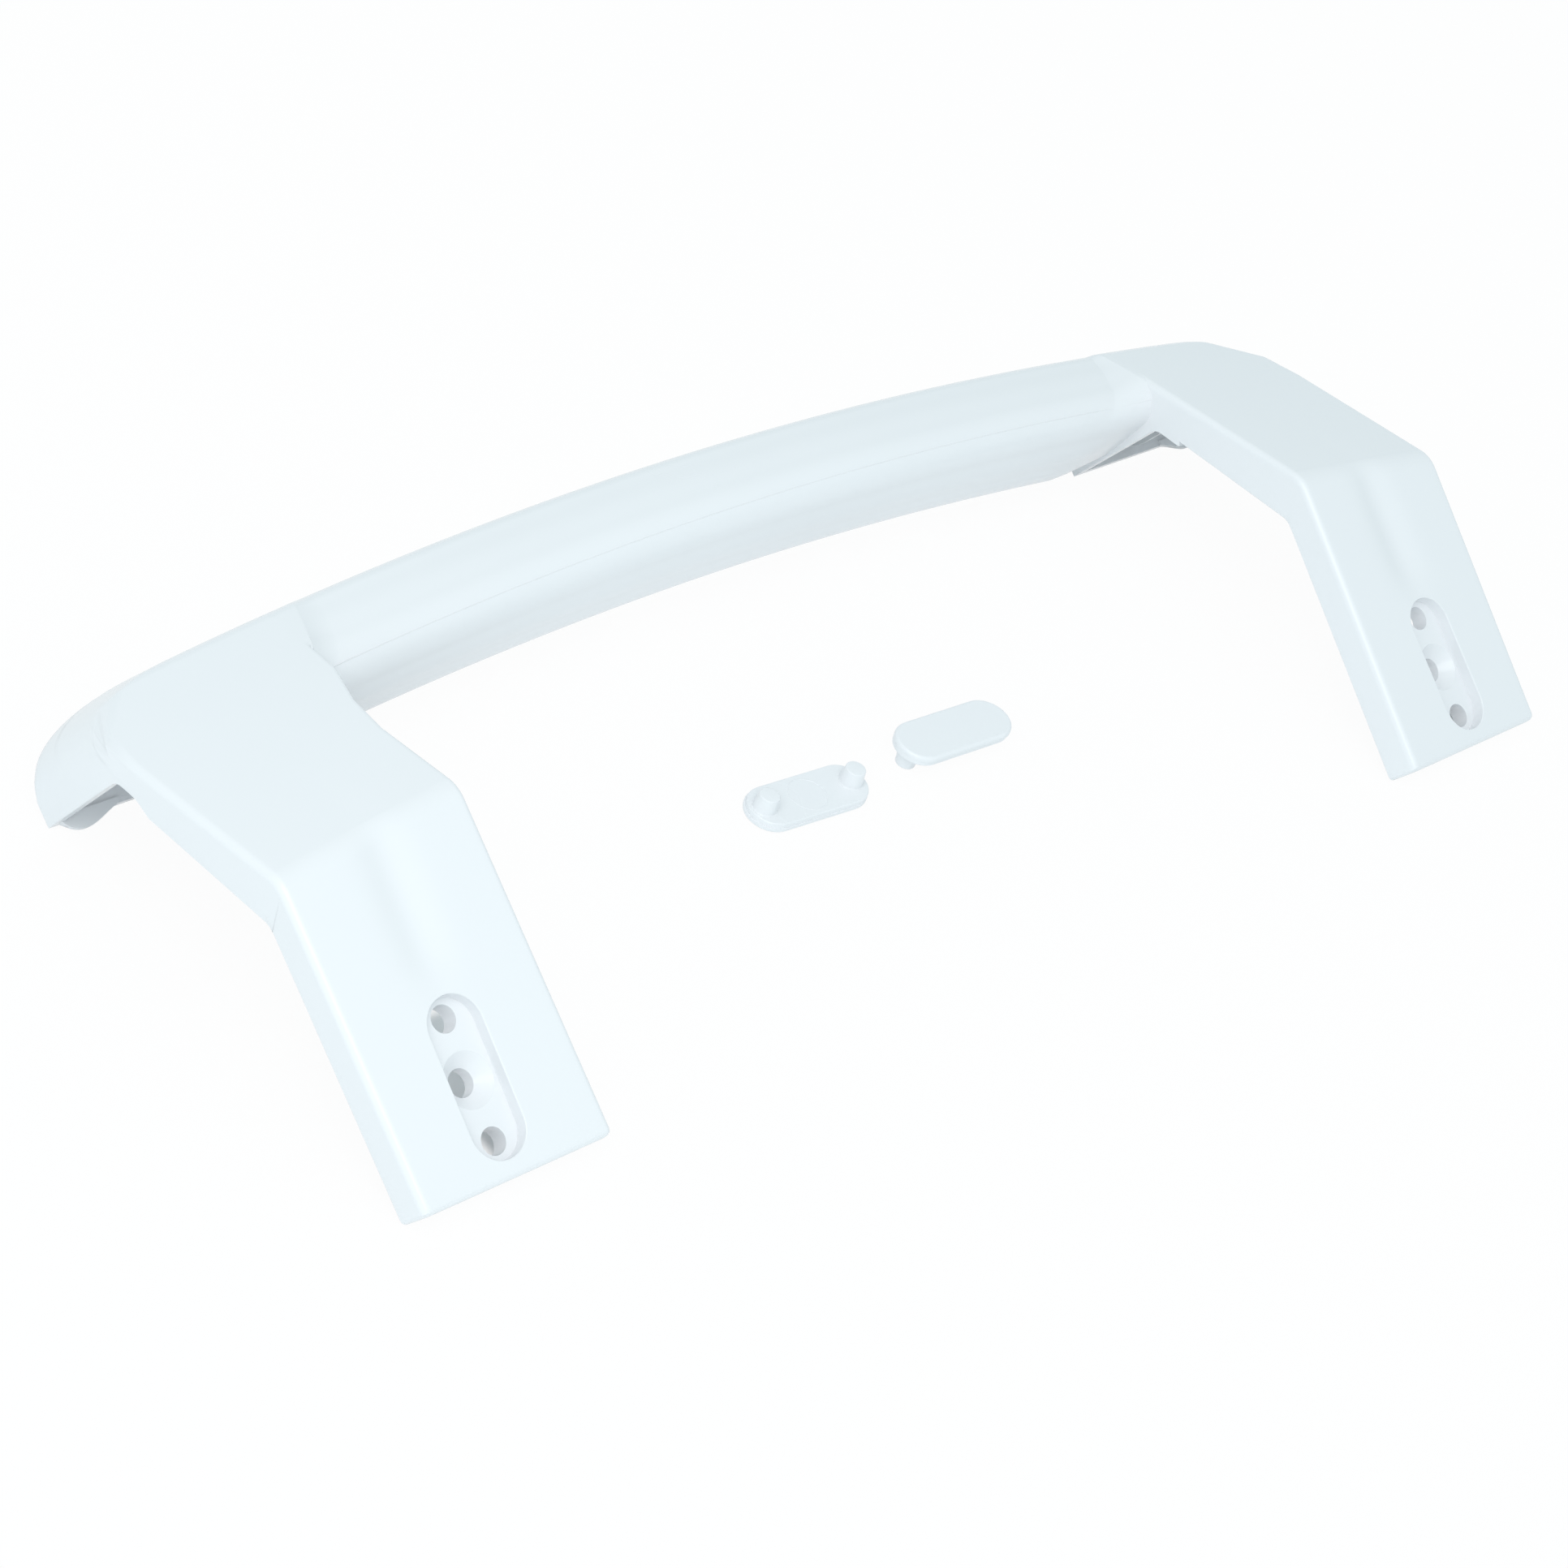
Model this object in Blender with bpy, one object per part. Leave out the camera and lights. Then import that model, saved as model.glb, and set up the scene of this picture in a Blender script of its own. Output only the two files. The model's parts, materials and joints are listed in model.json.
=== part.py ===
"""Refrigerator door handle lying on its foot tips and rear skirts, with its two screw covers.

The handle is designed in the door's frame: x along the bar, y from the foot tips to the bar and
z out of the foot plates. An empty then tips it on to the floor. Lengths are in metres.
"""

import math

import bmesh
import bpy
from mathutils import Vector

MM = 0.001

# Spacing of the fixings
HOLE_PITCH = 310 * MM
SCREW_Y = 20.8 * MM
PEG_PITCH = 25.4 * MM

# Foot plates and arms
FOOT_WIDTH = 48.3 * MM
FOOT_SPLAY = 0.031
PLATE_HEIGHT = 9.0 * MM
BEND_Y = 72.4 * MM
BEND_RADIUS = 8.0 * MM
RIM_BEND_Y = 65.0 * MM
RIM_BEND_RADIUS = 4.5 * MM
ARM_SLOPE = math.radians(42.4)
RIM_SLOPE = math.radians(39.0)
TIP_FILLET = 1.4 * MM
TIP_CORNER = 1.2 * MM
SIDE_FILLET = 1.6 * MM

# Heads at the ends of the bar, and the skirts that stand on the door's front
END_Y = 121.5 * MM
HEAD_DEPTH = 60.7 * MM
END_LEAN = -0.04
TOP_CORNER_RADIUS = 5.0 * MM
BACK_CORNER_RADIUS = 11.0 * MM
SKIRT_Y = 100.8 * MM
SKIRT_LEAN = 1.4 * MM
SKIRT_RADIUS = 3.5 * MM
SKIRT_LIP = 2.2 * MM
CREST_CORNER_Y = 105.0 * MM
CREST_CORNER_POWER = 2.6
BACK_CORNER_Y = 109.0 * MM
BACK_CORNER_POWER = 2.5
FLARE_DEPTH = 11.0 * MM
HEAD_DRAFT = 1.0 * MM
BACK_EDGE = 0.5 * MM
BACK_ROUND = 3.5 * MM

# Toe at the outer back corner of each skirt's rim
TOE_REACH = 2.8 * MM
TOE_OUT = 1.8 * MM
TOE_LENGTH = 14.5 * MM
TOE_TIP = 1.8 * MM
TOE_TOP = 3.0 * MM
TOE_KEY = 1.4 * MM

# Grip bar
BOW_RADIUS = 1306 * MM
NEAR_DROP = 4.0 * MM
FAR_DROP = 0.8 * MM
BAR_OVERLAP = 4.0 * MM
FLUSH_INSET = 0.02 * MM
NEAR_EDGE_Y = 102.8 * MM
NEAR_EDGE_RADIUS = 7.0 * MM
NOSE_RADIUS = 12.0 * MM
NOSE_Y = 95.0 * MM
NOSE_SHIFT = 3.2 * MM
NOSE_SHIFT_SPAN = 18.0 * MM
BAR_OFF_DOOR = 0.5 * MM

# Shoulders where the bar's broad face steps up to the head, measured inwards from the head:
# the upper and the lower edge of the step, each at the near side and at the far crest
LEFT_SHOULDER = (0.9 * MM, 12.0 * MM, 4.6 * MM, 18.7 * MM)
RIGHT_SHOULDER = (2.9 * MM, 1.2 * MM, 14.2 * MM, 3.0 * MM)
UPPER_EDGE_POWER = 1.7
LOWER_EDGE_POWER = 0.75
STEP_SHARES = (0.0, 0.2, 0.42, 0.65, 0.86, 1.0)
BAR_SHARES = (0.84, 0.72, 0.57, 0.42, 0.28, 0.14)

# Moulding walls, ribs and bosses
WALL = 2.5 * MM
BAR_WALL = 3.2 * MM
RIB = 1.6 * MM
RIB_SHY = 1.5 * MM
RIB_KEY = 1.0 * MM
CORE_KEY = 2.0 * MM
MOUTH = 4.0 * MM

# Screw cover recess
RECESS_LENGTH = 33.9 * MM
RECESS_WIDTH = 13.1 * MM
RECESS_DEPTH = 3.1 * MM
RECESS_FLOOR = 2.0 * MM
PEG_HOLE = 5.8 * MM
SCREW_HOLE = 5.9 * MM
SINK_TOP = 11.8 * MM
SINK_DEPTH = 2.8 * MM
SCREW_BOSS = 15.0 * MM
PEG_BOSS = 9.4 * MM
PEG_BOSS_SHY = 1.5 * MM

# Screw covers
COVER_CLEARANCE = 0.3 * MM
COVER_THICKNESS = 2.6 * MM
COVER_EDGE = 0.8 * MM
COVER_STEP = 0.5 * MM
PEG_CLEARANCE = 0.1 * MM
PEG_LENGTH = 4.0 * MM
PEG_DRAFT = 0.4 * MM
LEFT_COVER_AT = (-18.6 * MM, 55.7 * MM)
LEFT_COVER_TURN = -0.07
RIGHT_COVER_AT = (26.46 * MM, 55.14 * MM)
RIGHT_COVER_TURN = -0.05

ARC_STEPS = 5
ROUND_STEPS = 32
ACROSS_STEPS = 5
FACE_STEPS = 3
WALL_STEPS = (0.0, 0.04, 0.14, 0.3, 0.52, 0.76, 1.0)

HALF_PITCH = HOLE_PITCH / 2
FOOT_INNER = HALF_PITCH - FOOT_WIDTH / 2 - 1.2 * MM
FOOT_OUTER = FOOT_INNER + FOOT_WIDTH
HEAD_INNER = FOOT_INNER + FOOT_SPLAY * SKIRT_Y
BAR_BACK = HEAD_DEPTH - BAR_OFF_DOOR
END_HEIGHT = HEAD_DEPTH + PLATE_HEIGHT - math.tan(ARM_SLOPE) * (END_Y - BEND_Y)
CREST_ROUND = min(TOP_CORNER_RADIUS, END_HEIGHT / 4)
HEEL_ROUND = min(BACK_CORNER_RADIUS, END_HEIGHT / 2)
NOSE_ROUND = min(NOSE_RADIUS, 0.49 * END_HEIGHT)
SKIRT_END = Vector((SKIRT_Y - SKIRT_LEAN, -HEAD_DEPTH))
REST_ANGLE = math.atan2(HEAD_DEPTH, SKIRT_END.x)


def clear_scene():
    for obj in list(bpy.data.objects):
        bpy.data.objects.remove(obj, do_unlink=True)


def plastic(name, colour, roughness):
    material = bpy.data.materials.new(name)
    material.use_nodes = True
    shader = material.node_tree.nodes["Principled BSDF"]
    shader.inputs["Base Color"].default_value = (*colour, 1)
    shader.inputs["Roughness"].default_value = roughness
    shader.inputs["Metallic"].default_value = 0
    return material


def mesh_object(name, bm, parent):
    bmesh.ops.remove_doubles(bm, verts=bm.verts, dist=0.01 * MM)
    bmesh.ops.recalc_face_normals(bm, faces=bm.faces)
    mesh = bpy.data.meshes.new(name)
    bm.to_mesh(mesh)
    bm.free()
    obj = bpy.data.objects.new(name, mesh)
    bpy.context.scene.collection.objects.link(obj)
    obj.parent = parent
    return obj


def bow(x):
    """How much farther out a point of the bowed bar lies than one at the screw holes."""
    return (HALF_PITCH ** 2 - x * x) / (2 * BOW_RADIUS)


def round_centre(before, corner, after, radius):
    """Centre of a round of this radius between two straight runs that meet at corner."""
    a = (before - corner).normalized()
    b = (after - corner).normalized()
    return corner + (a + b).normalized() * radius / math.sin(a.angle(b) / 2)


def arc(before, corner, after, radius, steps=ARC_STEPS):
    """Points of a round of this radius between two straight runs that meet at corner."""
    a = (before - corner).normalized()
    b = (after - corner).normalized()
    half = a.angle(b) / 2
    centre = round_centre(before, corner, after, radius)
    start = corner + a * radius / math.tan(half) - centre
    end = corner + b * radius / math.tan(half) - centre
    turn = start.angle_signed(end)
    points = []
    for k in range(steps + 1):
        angle = -turn * k / steps
        c, s = math.cos(angle), math.sin(angle)
        points.append(centre + Vector((c * start.x - s * start.y, s * start.x + c * start.y)))
    return points


def outward(chain):
    """Normals along a chain of points that runs from the tip over the top to the back."""
    normals = []
    for i, point in enumerate(chain):
        before = (point - chain[max(i - 1, 0)]).normalized()
        after = (chain[min(i + 1, len(chain) - 1)] - point).normalized()
        along = (before + after).normalized()
        normals.append(Vector((-along.y, along.x)))
    return normals


def side_corners():
    """Corners of the end's side view: the outer skin, then the open rim."""
    top = PLATE_HEIGHT
    crest = Vector((END_Y, top - math.tan(ARM_SLOPE) * (END_Y - BEND_Y)))
    heel = Vector((END_Y - END_LEAN * (HEAD_DEPTH + crest.y), -HEAD_DEPTH))
    skin = [Vector((0, top)), Vector((BEND_Y, top)), crest, heel, SKIRT_END]
    knee = Vector((SKIRT_Y, -math.tan(RIM_SLOPE) * (SKIRT_Y - RIM_BEND_Y)))
    rim = [Vector((0, 0)), Vector((RIM_BEND_Y, 0)), knee, SKIRT_END]
    return skin, rim


def spread(a, b, count):
    """Points strictly between a and b."""
    return [a.lerp(b, (k + 1) / (count + 1)) for k in range(count)]


def along_rim(path, fraction):
    lengths = [(path[i + 1] - path[i]).length for i in range(len(path) - 1)]
    left = fraction * sum(lengths)
    for i, length in enumerate(lengths):
        if left <= length or i == len(lengths) - 1:
            return path[i].lerp(path[i + 1], min(left / length, 1))
        left -= length


def end_stations():
    """Stations of one end: (skin point, skin normal, rim point, rim direction, part of the end)."""
    skin, rim = side_corners()
    bend = arc(skin[0], skin[1], skin[2], BEND_RADIUS)
    crest = arc(skin[1], skin[2], skin[3], CREST_ROUND)
    heel = arc(skin[2], skin[3], skin[4], HEEL_ROUND)
    rim_bend = arc(rim[0], rim[1], rim[2], RIM_BEND_RADIUS)
    knee = arc(rim[1], rim[2], rim[3], SKIRT_RADIUS, 3)
    tip = []
    for k in range(4):
        turn = math.pi / 2 * k / 3
        y = TIP_FILLET * (1 - math.cos(turn))
        tip.append((Vector((y, PLATE_HEIGHT - TIP_FILLET * (1 - math.sin(turn)))), Vector((y, 0))))
    slope_top = spread(bend[-1], crest[0], 5)
    slope_rim = spread(rim_bend[-1], knee[0], 4)
    down = Vector((0, -1))
    arm_down = Vector((-math.sin(RIM_SLOPE), -math.cos(RIM_SLOPE)))
    stations = [(p, Vector((0, 1)), r, down, "plate") for p, r in tip]
    for k, point in enumerate(bend):
        part = "plate" if k == 0 else "arm"
        stations.append((point, None, rim_bend[k], down.lerp(arm_down, k / ARC_STEPS), part))
    for point, low in zip(slope_top[:3], slope_rim[:3]):
        stations.append((point, None, low, arm_down, "arm"))
    skin_rest = slope_top[3:] + crest + spread(crest[-1], heel[0], 1) + heel
    skin_rest += spread(heel[-1], SKIRT_END, 2) + [SKIRT_END]
    lip = SKIRT_END.lerp(knee[-1], SKIRT_LIP / (knee[-1] - SKIRT_END).length)
    rim_rest = [slope_rim[3]] + knee + [lip]
    for k, point in enumerate(skin_rest):
        fraction = k / (len(skin_rest) - 1)
        low = along_rim(rim_rest, fraction)
        way = arm_down.lerp(Vector((-1, 0)), min(3 * fraction, 1)).normalized()
        stations.append((point, None, low, way, "head" if k > 1 else "arm"))
    normals = outward([s[0] for s in stations])
    return [(s[0], s[1] or normals[i], *s[2:]) for i, s in enumerate(stations)]


def inner_side(y):
    return FOOT_INNER + FOOT_SPLAY * y


def outer_side(y, z, inset):
    """Outer wall of an end, whose corner in plan is rounder at the crest than farther back."""
    crest_z = side_corners()[0][2].y
    depth = min(max((crest_z - z) / FLARE_DEPTH, 0), 1)
    corner_y = CREST_CORNER_Y + (BACK_CORNER_Y - CREST_CORNER_Y) * depth
    power = CREST_CORNER_POWER + (BACK_CORNER_POWER - CREST_CORNER_POWER) * depth
    draft = HEAD_DRAFT * min(max((crest_z - z) / (HEAD_DEPTH + crest_z), 0), 1)
    straight = FOOT_OUTER + FOOT_SPLAY * min(y, corner_y) - draft - inset
    if y <= corner_y:
        return straight
    reach = END_Y - END_LEAN * max(crest_z - z, 0) - inset
    v = min((y - corner_y) / (reach - corner_y), 1)
    return HALF_PITCH + (straight - HALF_PITCH) * (1 - v ** power) ** (1 / power)


def side_fillet(point, part, side):
    """Radius between the skin and a side wall, small where the bar joins and at the back."""
    if part != "head":
        return SIDE_FILLET
    if side == "inner" and point.x > SKIRT_Y:
        return BACK_EDGE
    if point.y > -HEAD_DEPTH + HEEL_ROUND:
        return SIDE_FILLET * (1.4 if point.x > SKIRT_Y else 1.0)
    start, end = BACK_CORNER_Y - 2 * MM, BACK_CORNER_Y + 5 * MM
    share = min(max((point.x - start) / (end - start), 0), 1)
    return BACK_EDGE + (BACK_ROUND - BACK_EDGE) * share


def plan_corner(y):
    """Inset of both side walls at the corners of the foot tip."""
    if y >= TIP_CORNER:
        return 0.0
    return TIP_CORNER - math.sqrt(TIP_CORNER ** 2 - (TIP_CORNER - y) ** 2)


def skin_shift(point, part):
    """Share of the bow that a skin point follows: none at the foot tip or at the skirt's edge."""
    if part == "plate":
        return 0.0 if point.x < RIM_BEND_Y / 2 else 1.0
    if point.y > -HEAD_DEPTH + 0.01 * MM:
        return 1.0
    reach = END_Y - HEEL_ROUND - SKIRT_END.x
    return min((point.x - SKIRT_END.x) / reach, 1)


def cross_ring(station, inset, mouth):
    """One closed cross ring: up the inner wall, over the skin and down the outer wall."""
    skin, normal, rim, way, part = station
    fillets = {
        side: max(side_fillet(skin, part, side) - inset, 0.3 * MM) for side in ("inner", "outer")
    }
    skin = skin - normal * inset
    rim = rim + way * mouth
    low_shift = {"plate": 0.0, "arm": 0.8, "head": 0.0}[part]
    high_shift = skin_shift(station[0], part)

    def place(flat, share, across, drop):
        y, z = flat.x, flat.y
        corner = plan_corner(y) if inset == 0 else 0
        left = inner_side(y) + inset + corner
        right = outer_side(y, z, inset) - corner
        if across == "inner":
            x = left + drop[0]
        elif across == "outer":
            x = right - drop[0]
        else:
            low, high = left + drop[0], right - drop[1]
            x = low + (high - low) * across
        return Vector((x, y + bow(x) * share, z))

    ring = []
    turns = [math.pi / 2 * k / 3 for k in range(4)]
    for side, fillet in fillets.items():
        wall = []
        top = skin - normal * fillet
        for f in reversed(WALL_STEPS):
            share = high_shift + (low_shift - high_shift) * f
            wall.append(place(top.lerp(rim, f), share, side, (0,)))
        for turn in turns[1:-1]:
            sink = skin - normal * fillet * (1 - math.sin(turn))
            wall.append(place(sink, high_shift, side, (fillet * (1 - math.cos(turn)),)))
        if side == "inner":
            ring += wall
            for k in range(ACROSS_STEPS + 1):
                ring.append(place(skin, high_shift, k / ACROSS_STEPS, tuple(fillets.values())))
        else:
            ring += reversed(wall)
    return ring


def loft(rings):
    """Closed skin through rings of equal length, capped at both ends."""
    bm = bmesh.new()
    rows = [[bm.verts.new(point) for point in ring] for ring in rings]
    count = len(rows[0])
    for low, high in zip(rows, rows[1:]):
        for i in range(count):
            j = (i + 1) % count
            bm.faces.new((low[i], low[j], high[j], high[i]))
    bm.faces.new(rows[0])
    bm.faces.new(reversed(rows[-1]))
    bmesh.ops.remove_doubles(bm, verts=bm.verts, dist=0.01 * MM)
    return bm


def end_loft(side, inset=0.0, mouth=0.0):
    """One end as a solid, or the hollow inside its walls where inset is a wall."""
    stations = end_stations()
    if inset:
        tip = stations[4]
        start = Vector((inset, tip[0].y))
        stations = [(start, Vector((0, 1)), Vector((inset, 0)), tip[3], "plate")] + stations[4:]
    rings = [cross_ring(station, inset, mouth) for station in stations]
    if inset:
        skin, _, _, _, _ = stations[-1]
        rings[-1] = [Vector((p.x, p.y - mouth, p.z)) for p in rings[-1]]
    bm = loft(rings)
    if side < 0:
        for vert in bm.verts:
            vert.co.x = -vert.co.x
        bmesh.ops.reverse_faces(bm, faces=bm.faces)
    return bm


def round_hull(circles, flat_points=0):
    """Outline round a ring of circles (centre, radius), listed anticlockwise.

    The straight run before the last circle gets some points of its own.
    """
    points = []
    count = len(circles)
    angles = []
    for i in range(count):
        (a, ra), (b, rb) = circles[i], circles[(i + 1) % count]
        gap = b - a
        lean = math.asin((ra - rb) / gap.length)
        angles.append(math.atan2(gap.y, gap.x) - math.pi / 2 + lean)
    for i, (centre, radius) in enumerate(circles):
        start, end = angles[i - 1], angles[i]
        while end < start:
            end += 2 * math.pi
        round_points = []
        for k in range(ARC_STEPS + 1):
            turn = start + (end - start) * k / ARC_STEPS
            round_points.append(centre + Vector((math.cos(turn), math.sin(turn))) * radius)
        if i == count - 1:
            points += spread(points[-1], round_points[0], flat_points)
        points += round_points
    return points


def near_far(y):
    """Share of the way over the bar's broad face, from its near edge to the far crest."""
    return min(max((y - NEAR_EDGE_Y) / (END_Y - NEAR_EDGE_Y), 0), 1)


def bar_section(shift, rise, inset):
    """Outline of the bar, with its broad face raised by a share of the shoulder's height."""
    slope = Vector((math.cos(ARM_SLOPE), -math.sin(ARM_SLOPE)))
    normal = Vector((math.sin(ARM_SLOPE), math.cos(ARM_SLOPE)))
    face = Vector((BEND_Y, PLATE_HEIGHT)) - normal * FLUSH_INSET
    far_y = END_Y - FLUSH_INSET
    near = face + slope * ((NEAR_EDGE_Y - face.x) / slope.x)
    crest = face + slope * ((far_y - face.x) / slope.x)
    near.y -= NEAR_DROP * (1 - rise) / normal.y
    crest.y -= FAR_DROP * (1 - rise) / normal.y
    back = FLUSH_INSET - BAR_BACK - BAR_OFF_DOOR * rise
    heel = Vector((END_Y - FLUSH_INSET - END_LEAN * (crest.y - back), back))
    nose = Vector((NOSE_Y + NOSE_ROUND + NOSE_SHIFT * shift, back + NOSE_ROUND))
    near_side = nose - Vector((NOSE_ROUND, 0))
    near_top = round_centre(near_side, near, crest, NEAR_EDGE_RADIUS)
    far_top = round_centre(near, crest, heel, CREST_ROUND)
    far_back = round_centre(crest, heel, SKIRT_END, HEEL_ROUND)
    circles = []
    middle = (nose + far_top) / 2
    for centre, radius in (
        (nose, NOSE_ROUND), (far_back, HEEL_ROUND),
        (far_top, CREST_ROUND), (near_top, NEAR_EDGE_RADIUS),
    ):
        keep = max(radius - inset, 0.6 * MM)
        extra = max(inset - radius + keep, 0) * 1.4
        circles.append((centre + (middle - centre).normalized() * extra, keep))
    return round_hull(circles, FACE_STEPS)


def shoulder_edge(side, v, share):
    """How far in from the head a line on the step lies: share 0 at its foot, 1 at its top."""
    upper_near, upper_far, lower_near, lower_far = LEFT_SHOULDER if side < 0 else RIGHT_SHOULDER
    upper = upper_near + (upper_far - upper_near) * v ** UPPER_EDGE_POWER
    lower = lower_near + (lower_far - lower_near) * v ** LOWER_EDGE_POWER
    return HEAD_INNER - lower - (upper - lower) * share


def bar_ring(side, reach, rise, inset):
    """One ring of the bar, where reach gives the distance from the middle for a share across."""
    shift_start = HEAD_INNER - NOSE_SHIFT_SPAN
    shift = min(max((reach(0) - shift_start) / NOSE_SHIFT_SPAN, 0), 1)
    ring = []
    for point in bar_section(shift, rise, inset):
        x = side * reach(near_far(point.x))
        ring.append(Vector((x, point.x + bow(x), point.y)))
    return ring


def bar_half(side, inset, tail):
    """Rings of half the bar, from beside the middle to its root in the head."""
    rings = []
    for share in reversed(BAR_SHARES):
        def reach(v, share=share):
            return HEAD_INNER * share * 0.5 + shoulder_edge(side, v * share, 0) * share * 0.5
        rings.append(bar_ring(side, reach, 0.0, inset))
    for share in STEP_SHARES:
        rise = share * share * (3 - 2 * share)
        rings.append(bar_ring(side, lambda v, k=share: shoulder_edge(side, v, k), rise, inset))
    for depth in (tail / 2, tail):
        rings.append(bar_ring(side, lambda v, k=depth: HEAD_INNER + k, 1.0, inset))
    return rings


def bar_loft(tail, inset):
    """The whole bar between its two roots, or its core where inset is a wall."""
    middle = [Vector((0, p.x + bow(0), p.y)) for p in bar_section(0.0, 0.0, inset)]
    left, right = bar_half(-1, inset, tail), bar_half(1, inset, tail)
    return loft(list(reversed(left)) + [middle] + right)


def prism(outline, bottom, top, side):
    """Upright prism over an outline of (x, y) points."""
    return loft([[Vector((side * x, y, z)) for x, y in outline] for z in (bottom, top)])


def stadium(x, y, length, width, steps=ROUND_STEPS // 2):
    """Stadium outline with its long axis along y."""
    reach = (length - width) / 2
    points = []
    for end in (1, -1):
        for k in range(steps + 1):
            turn = math.pi * k / steps + (0 if end > 0 else math.pi)
            points.append((x + width / 2 * math.cos(turn), y + end * reach + width / 2 * math.sin(turn)))
    return points


def circle(x, y, diameter, steps=ROUND_STEPS):
    return [
        (x + diameter / 2 * math.cos(2 * math.pi * k / steps),
         y + diameter / 2 * math.sin(2 * math.pi * k / steps))
        for k in range(steps)
    ]


def rectangle(x0, y0, x1, y1):
    return [(x0, y0), (x1, y0), (x1, y1), (x0, y1)]


def long_rib(side):
    """Rib along the middle of the arm and head, a little short of the open rim."""
    stations = end_stations()[5:]
    bm = bmesh.new()
    skin = [s[0] - s[1] * (WALL - RIB_KEY) for s in stations]
    rim = [s[2] - s[3] * RIB_SHY for s in stations]
    skin[-1] = Vector((SKIRT_Y + RIB_SHY, skin[-1].y))
    outline = skin + [p for p in reversed(rim) if p.y > skin[-1].y + RIB_SHY]
    low, high = [], []
    for point in outline:
        y = point.x + bow(HALF_PITCH)
        low.append(bm.verts.new((side * (HALF_PITCH - RIB / 2), y, point.y)))
        high.append(bm.verts.new((side * (HALF_PITCH + RIB / 2), y, point.y)))
    count = len(outline)
    for i in range(count):
        j = (i + 1) % count
        bm.faces.new((low[i], low[j], high[j], high[i]))
    bm.faces.new(reversed(low))
    bm.faces.new(high)
    return bm


def toe(side):
    """Small lobe of the skirt's rim near its outer back corner, bevelled to clear the floor."""
    outer = outer_side(SKIRT_END.x, SKIRT_END.y, 0.0) - TOE_OUT
    rings = []
    for height, reach in ((RIB_KEY / 8, 0.04), (TOE_TIP, 1.0), (TOE_TOP, 1.0)):
        ring = []
        for k in range(9):
            share = k / 8
            dip = TOE_REACH * reach * math.sin(math.pi * share ** 1.6) ** 0.8 if 0 < k < 8 else 0
            x = outer - TOE_LENGTH * (1 - share)
            ring.append(Vector((side * x, SKIRT_END.x + 0.2 * MM - dip, height - HEAD_DEPTH)))
        for x in (outer, outer - TOE_LENGTH):
            ring.append(Vector((side * x, SKIRT_END.x + TOE_KEY, height - HEAD_DEPTH)))
        rings.append(ring)
    return loft(rings)


def boolean(target, tool, operation):
    modifier = target.modifiers.new(tool.name, "BOOLEAN")
    modifier.operation = operation
    modifier.solver = "EXACT"
    modifier.object = tool
    tool.hide_render = True
    tool.hide_set(True)
    tool.display_type = "WIRE"


def foot_inside(side, parent):
    """Pan, bosses and cross ribs under one foot plate."""
    x = HALF_PITCH
    roof = PLATE_HEIGHT - WALL + RIB_KEY
    pan_floor = PLATE_HEIGHT - RECESS_DEPTH - RECESS_FLOOR
    pan = stadium(x, SCREW_Y, RECESS_LENGTH + 2 * RECESS_FLOOR, RECESS_WIDTH + 2 * RECESS_FLOOR)
    tag = "right" if side > 0 else "left"
    tools = [mesh_object(f"recess_pan_{tag}", prism(pan, pan_floor, roof, side), parent)]
    boss_roof = pan_floor + RIB_KEY
    tools.append(mesh_object(
        f"screw_boss_{tag}", prism(circle(x, SCREW_Y, SCREW_BOSS), 0, boss_roof, side), parent))
    for k, way in enumerate((-1, 1)):
        y = SCREW_Y + way * PEG_PITCH / 2
        low = PEG_BOSS_SHY if way > 0 else RIB_SHY
        boss = prism(circle(x, y, PEG_BOSS), low, boss_roof, side)
        tools.append(mesh_object(f"peg_boss_{tag}_{k}", boss, parent))
    y = SCREW_Y + RECESS_LENGTH / 2 + 6 * MM
    inner = inner_side(y) + WALL - RIB_KEY
    outer = FOOT_OUTER + FOOT_SPLAY * y - WALL + RIB_KEY
    for k in range(2):
        rib = rectangle(inner, y - RIB / 2, outer, y + RIB / 2)
        tools.append(mesh_object(f"cross_rib_{tag}_{k}", prism(rib, RIB_SHY, roof, side), parent))
        y += 14 * MM
    return tools


def foot_cuts(side, parent):
    """Recess, peg holes and countersunk screw hole of one foot."""
    x = HALF_PITCH
    tag = "right" if side > 0 else "left"
    floor = PLATE_HEIGHT - RECESS_DEPTH
    recess = prism(
        stadium(x, SCREW_Y, RECESS_LENGTH, RECESS_WIDTH), floor, PLATE_HEIGHT + MOUTH, side)
    tools = [mesh_object(f"recess_cut_{tag}", recess, parent)]
    lift = 0.2 * MM
    slope = (SINK_TOP - SCREW_HOLE) / 2 / SINK_DEPTH
    rings = []
    for z, width in (
        (-MOUTH, SCREW_HOLE), (floor - SINK_DEPTH, SCREW_HOLE), (floor + lift, SINK_TOP + 2 * slope * lift),
    ):
        rings.append([Vector((side * px, py, z)) for px, py in circle(x, SCREW_Y, width)])
    tools.append(mesh_object(f"screw_cut_{tag}", loft(rings), parent))
    for k, way in enumerate((-1, 1)):
        spot = circle(x, SCREW_Y + way * PEG_PITCH / 2, PEG_HOLE)
        tools.append(mesh_object(f"peg_hole_{tag}_{k}", prism(spot, -MOUTH, floor + lift, side), parent))
    return tools


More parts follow.
